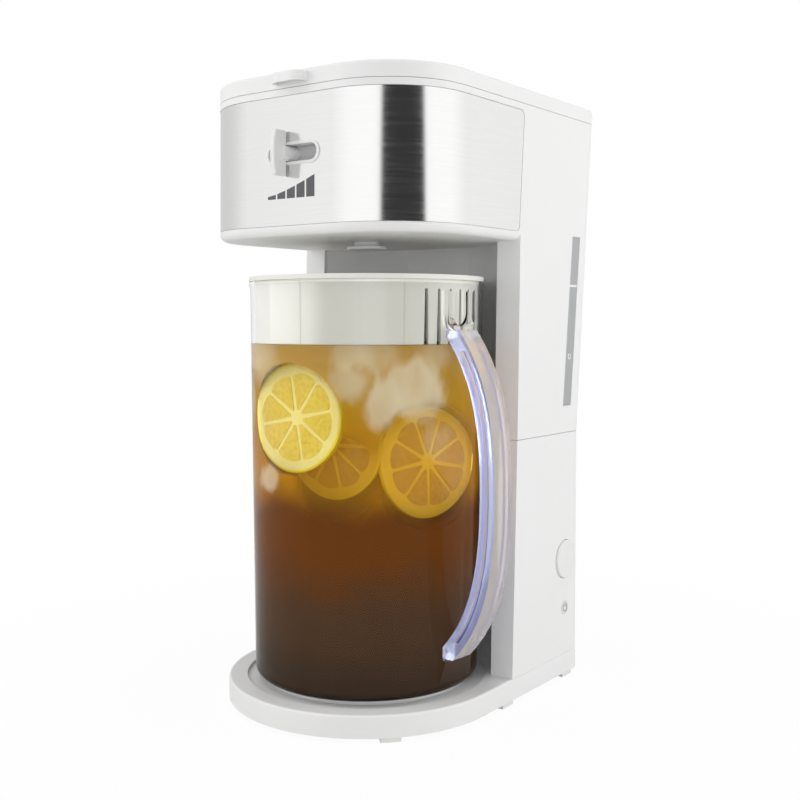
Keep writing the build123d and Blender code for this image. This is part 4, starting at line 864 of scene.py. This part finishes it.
for index in range(BAR_COUNT):
    left = BAR_LEFT + index * BAR_PITCH
    right = left + BAR_WIDTH
    outline = [(left, -BAR_BASE_DROP), (right, -BAR_BASE_DROP), (right, -BAR_BASE_DROP + scale_height(right)),
               (left, -BAR_BASE_DROP + scale_height(left))]
    plate(f"scale_bar_{index + 1}", outline, on_band, dark_ink, "housing")

# Marks on the water window, which leans back: a full line and a small ring lower down
FULL_LINE_Z = 258.5
FULL_LINE_HEIGHT = 1.3
LEVEL_RING_Z = 212.0
LEVEL_RING_RADIUS = 1.9
LEVEL_RING_STROKE = 0.7
LEVEL_RING_ANGLES = (100, 440)
LINE_END_GAP = 0.6
WINDOW_WIDTH = 10.6 * MM


def on_window(z):
    """A placing function about the middle of the leaning window at a height, in millimetres."""
    share = (z * MM - WINDOW_LOW[2]) / (WINDOW_HIGH[2] - WINDOW_LOW[2])
    middle_y = WINDOW_LOW[1] + WINDOW_WIDTH / 2 + share * (WINDOW_HIGH[1] - WINDOW_LOW[1] - WINDOW_WIDTH)
    return lambda across, up, out: Vector((WINDOW_HIGH[0] + out * MM, middle_y + across * MM, (z + up) * MM))


line_half = WINDOW_WIDTH / MM / 2 - LINE_END_GAP
full_line = rectangle(-line_half, line_half, 0.0, FULL_LINE_HEIGHT)
plate("full_line", full_line, on_window(FULL_LINE_Z), white_ink, "housing")

# Power mark on the lens: an open ring and a stroke
POWER_RADIUS = 2.9
POWER_STROKE = 0.7
POWER_RING_ANGLES = (125, 415)
STROKE_LOW = 0.4
STROKE_PAST = 0.4
lens_y = (LENS_LOW[1] + LENS_HIGH[1]) / 2
lens_z = (LENS_LOW[2] + LENS_HIGH[2]) / 2


def on_lens(across, up, out):
    """A point on the round lens, from its middle."""
    return Vector((LENS_HIGH[0] + out * MM, lens_y + across * MM, lens_z + up * MM))


ARC_STEPS = 24


def arc_outline(radius, stroke, start, end):
    """Outline of an open ring between two angles in degrees."""
    angles = [math.radians(start + (end - start) * step / ARC_STEPS) for step in range(ARC_STEPS + 1)]
    outer = [(radius * math.cos(a), radius * math.sin(a)) for a in angles]
    inner = [((radius - stroke) * math.cos(a), (radius - stroke) * math.sin(a)) for a in reversed(angles)]
    return outer + inner


level_ring = arc_outline(LEVEL_RING_RADIUS, LEVEL_RING_STROKE, *LEVEL_RING_ANGLES)
plate("level_ring", level_ring, on_window(LEVEL_RING_Z), white_ink, "housing")
power_ring = arc_outline(POWER_RADIUS, POWER_STROKE, *POWER_RING_ANGLES)
plate("power_ring", power_ring, on_lens, grey_ink, "housing")
half_stroke = POWER_STROKE / 2
power_stroke = rectangle(-half_stroke, half_stroke, STROKE_LOW, POWER_RADIUS + STROKE_PAST)
plate("power_stroke", power_stroke, on_lens, grey_ink, "housing")


# Stage: floor, light and background

FLOOR_GLOW_NEAR = 0.95
GLOW_START = 0.12
GLOW_END = 0.5
FLOOR_HALF = 4.0


def floor_material():
    """White floor. The camera sees it glow towards the horizon, so that it meets the white background,
    and sees the object's shadow close by."""
    material, tree, shader = new_material("floor")
    tree.nodes.remove(shader)
    output = [n for n in tree.nodes if n.type == "OUTPUT_MATERIAL"][0]
    diffuse = node(tree, "ShaderNodeBsdfDiffuse", Color=(0.88, 0.88, 0.88, 1.0))
    glow = node(tree, "ShaderNodeEmission", Color=(1.0, 1.0, 1.0, 1.0), Strength=1.0)
    where = tree.nodes.new("ShaderNodeTexCoord")
    length = node(tree, "ShaderNodeVectorMath", operation="LENGTH")
    tree.links.new(where.outputs["Object"], length.inputs[0])
    far = map_range(tree, length.outputs["Value"], GLOW_START, GLOW_END, FLOOR_GLOW_NEAR, 1.0)
    path = tree.nodes.new("ShaderNodeLightPath")
    share = math_node(tree, "MULTIPLY", far, path.outputs["Is Camera Ray"])
    mixed = node(tree, "ShaderNodeMixShader", {0: share, 1: diffuse.outputs[0], 2: glow.outputs[0]})
    tree.links.new(mixed.outputs[0], output.inputs["Surface"])
    return material


floor_corners = [(x, y, 0) for x, y in rectangle(-FLOOR_HALF, FLOOR_HALF, -FLOOR_HALF, FLOOR_HALF)]
floor = make_object("floor", floor_corners, [(0, 1, 2, 3)], [floor_material()], smooth=False)

# Camera, at the photograph's place and angle
CAMERA_PLACE = (0.42415, -0.58582, 0.23567)
CAMERA_YAW = 36.402
CAMERA_LENS = 50.0
CAMERA_SENSOR = 36.0
CAMERA_SHIFT = (0.00335, -0.0988)
camera_data = bpy.data.cameras.new("camera")
camera_data.lens = CAMERA_LENS
camera_data.sensor_width = CAMERA_SENSOR
camera_data.shift_x, camera_data.shift_y = CAMERA_SHIFT
camera_data.clip_start = 0.01
camera = bpy.data.objects.new("camera", camera_data)
camera.location = CAMERA_PLACE
camera.rotation_euler = (math.radians(90), 0, math.radians(CAMERA_YAW))
bpy.context.scene.collection.objects.link(camera)
bpy.context.scene.camera = camera


LIGHT_TARGET = Vector((0.0, 0.0, 0.2))


def soft_light(name, azimuth, elevation, distance, size, power):
    """A large lamp that looks at the object; its azimuth is measured from the front towards the right."""
    lamp_data = bpy.data.lights.new(name, "AREA")
    lamp_data.shape = "RECTANGLE"
    lamp_data.size, lamp_data.size_y = size
    lamp_data.energy = power
    lamp = bpy.data.objects.new(name, lamp_data)
    a, e = math.radians(azimuth), math.radians(elevation)
    outward = Vector((math.sin(a) * math.cos(e), -math.cos(a) * math.cos(e), math.sin(e)))
    lamp.location = LIGHT_TARGET + outward * distance
    lamp.rotation_euler = (-outward).to_track_quat("-Z", "Y").to_euler()
    lamp.visible_glossy = False
    bpy.context.scene.collection.objects.link(lamp)


# Azimuth, elevation, distance, size and power of each lamp
soft_light("left_softbox", -52, 22, 1.6, (1.2, 1.4), 10.0)
soft_light("right_softbox", 122, 18, 1.6, (1.2, 1.4), 9.6)
soft_light("top_softbox", 20, 80, 1.4, (1.4, 1.4), 6.0)
soft_light("front_softbox", 40, 2, 1.8, (1.0, 0.7), 6.0)

# World: white to the camera and through clear pieces, a fill light for surfaces, and for reflections a
# white studio with a dark opening in front on the right. Edge and run are cosines of the angle from it
FILL_STRENGTH = 0.46
REFLECTED_WHITE = 1.12
REFLECTED_FAR = 0.7
REFLECTED_DARK = 0.03
OPENING_AZIMUTH = 53.5
OPENING_EDGE = (0.85, 0.9)
WHITE_RUN = (-0.9, 0.5)


def make_world():
    """The background and what surfaces reflect of the studio."""
    world = bpy.data.worlds.new("studio")
    bpy.context.scene.world = world
    world.use_nodes = True
    tree = world.node_tree
    tree.nodes.clear()
    output = tree.nodes.new("ShaderNodeOutputWorld")
    path = tree.nodes.new("ShaderNodeLightPath")
    where = tree.nodes.new("ShaderNodeTexCoord")
    azimuth = math.radians(OPENING_AZIMUTH)
    along = dot_product(tree, where.outputs["Generated"], (math.sin(azimuth), -math.cos(azimuth), 0.0))
    white = map_range(tree, along, *WHITE_RUN, REFLECTED_FAR, REFLECTED_WHITE)
    studio = math_node(tree, "MULTIPLY", white, map_range(tree, along, *OPENING_EDGE, 1.0, REFLECTED_DARK))
    shown = math_node(tree, "MAXIMUM", path.outputs["Is Camera Ray"], path.outputs["Is Transmission Ray"])
    plain = math_node(tree, "SUBTRACT", 1.0, path.outputs["Is Glossy Ray"])
    fill = math_node(tree, "MULTIPLY", plain, FILL_STRENGTH)
    reflected = math_node(tree, "MULTIPLY", path.outputs["Is Glossy Ray"], studio)
    strength = math_node(tree, "MAXIMUM", math_node(tree, "ADD", fill, reflected), shown)
    background = node(tree, "ShaderNodeBackground", {"Strength": strength}, Color=(1.0, 1.0, 1.0, 1.0))
    tree.links.new(background.outputs[0], output.inputs["Surface"])


make_world()
bpy.context.scene.view_settings.view_transform = "Standard"
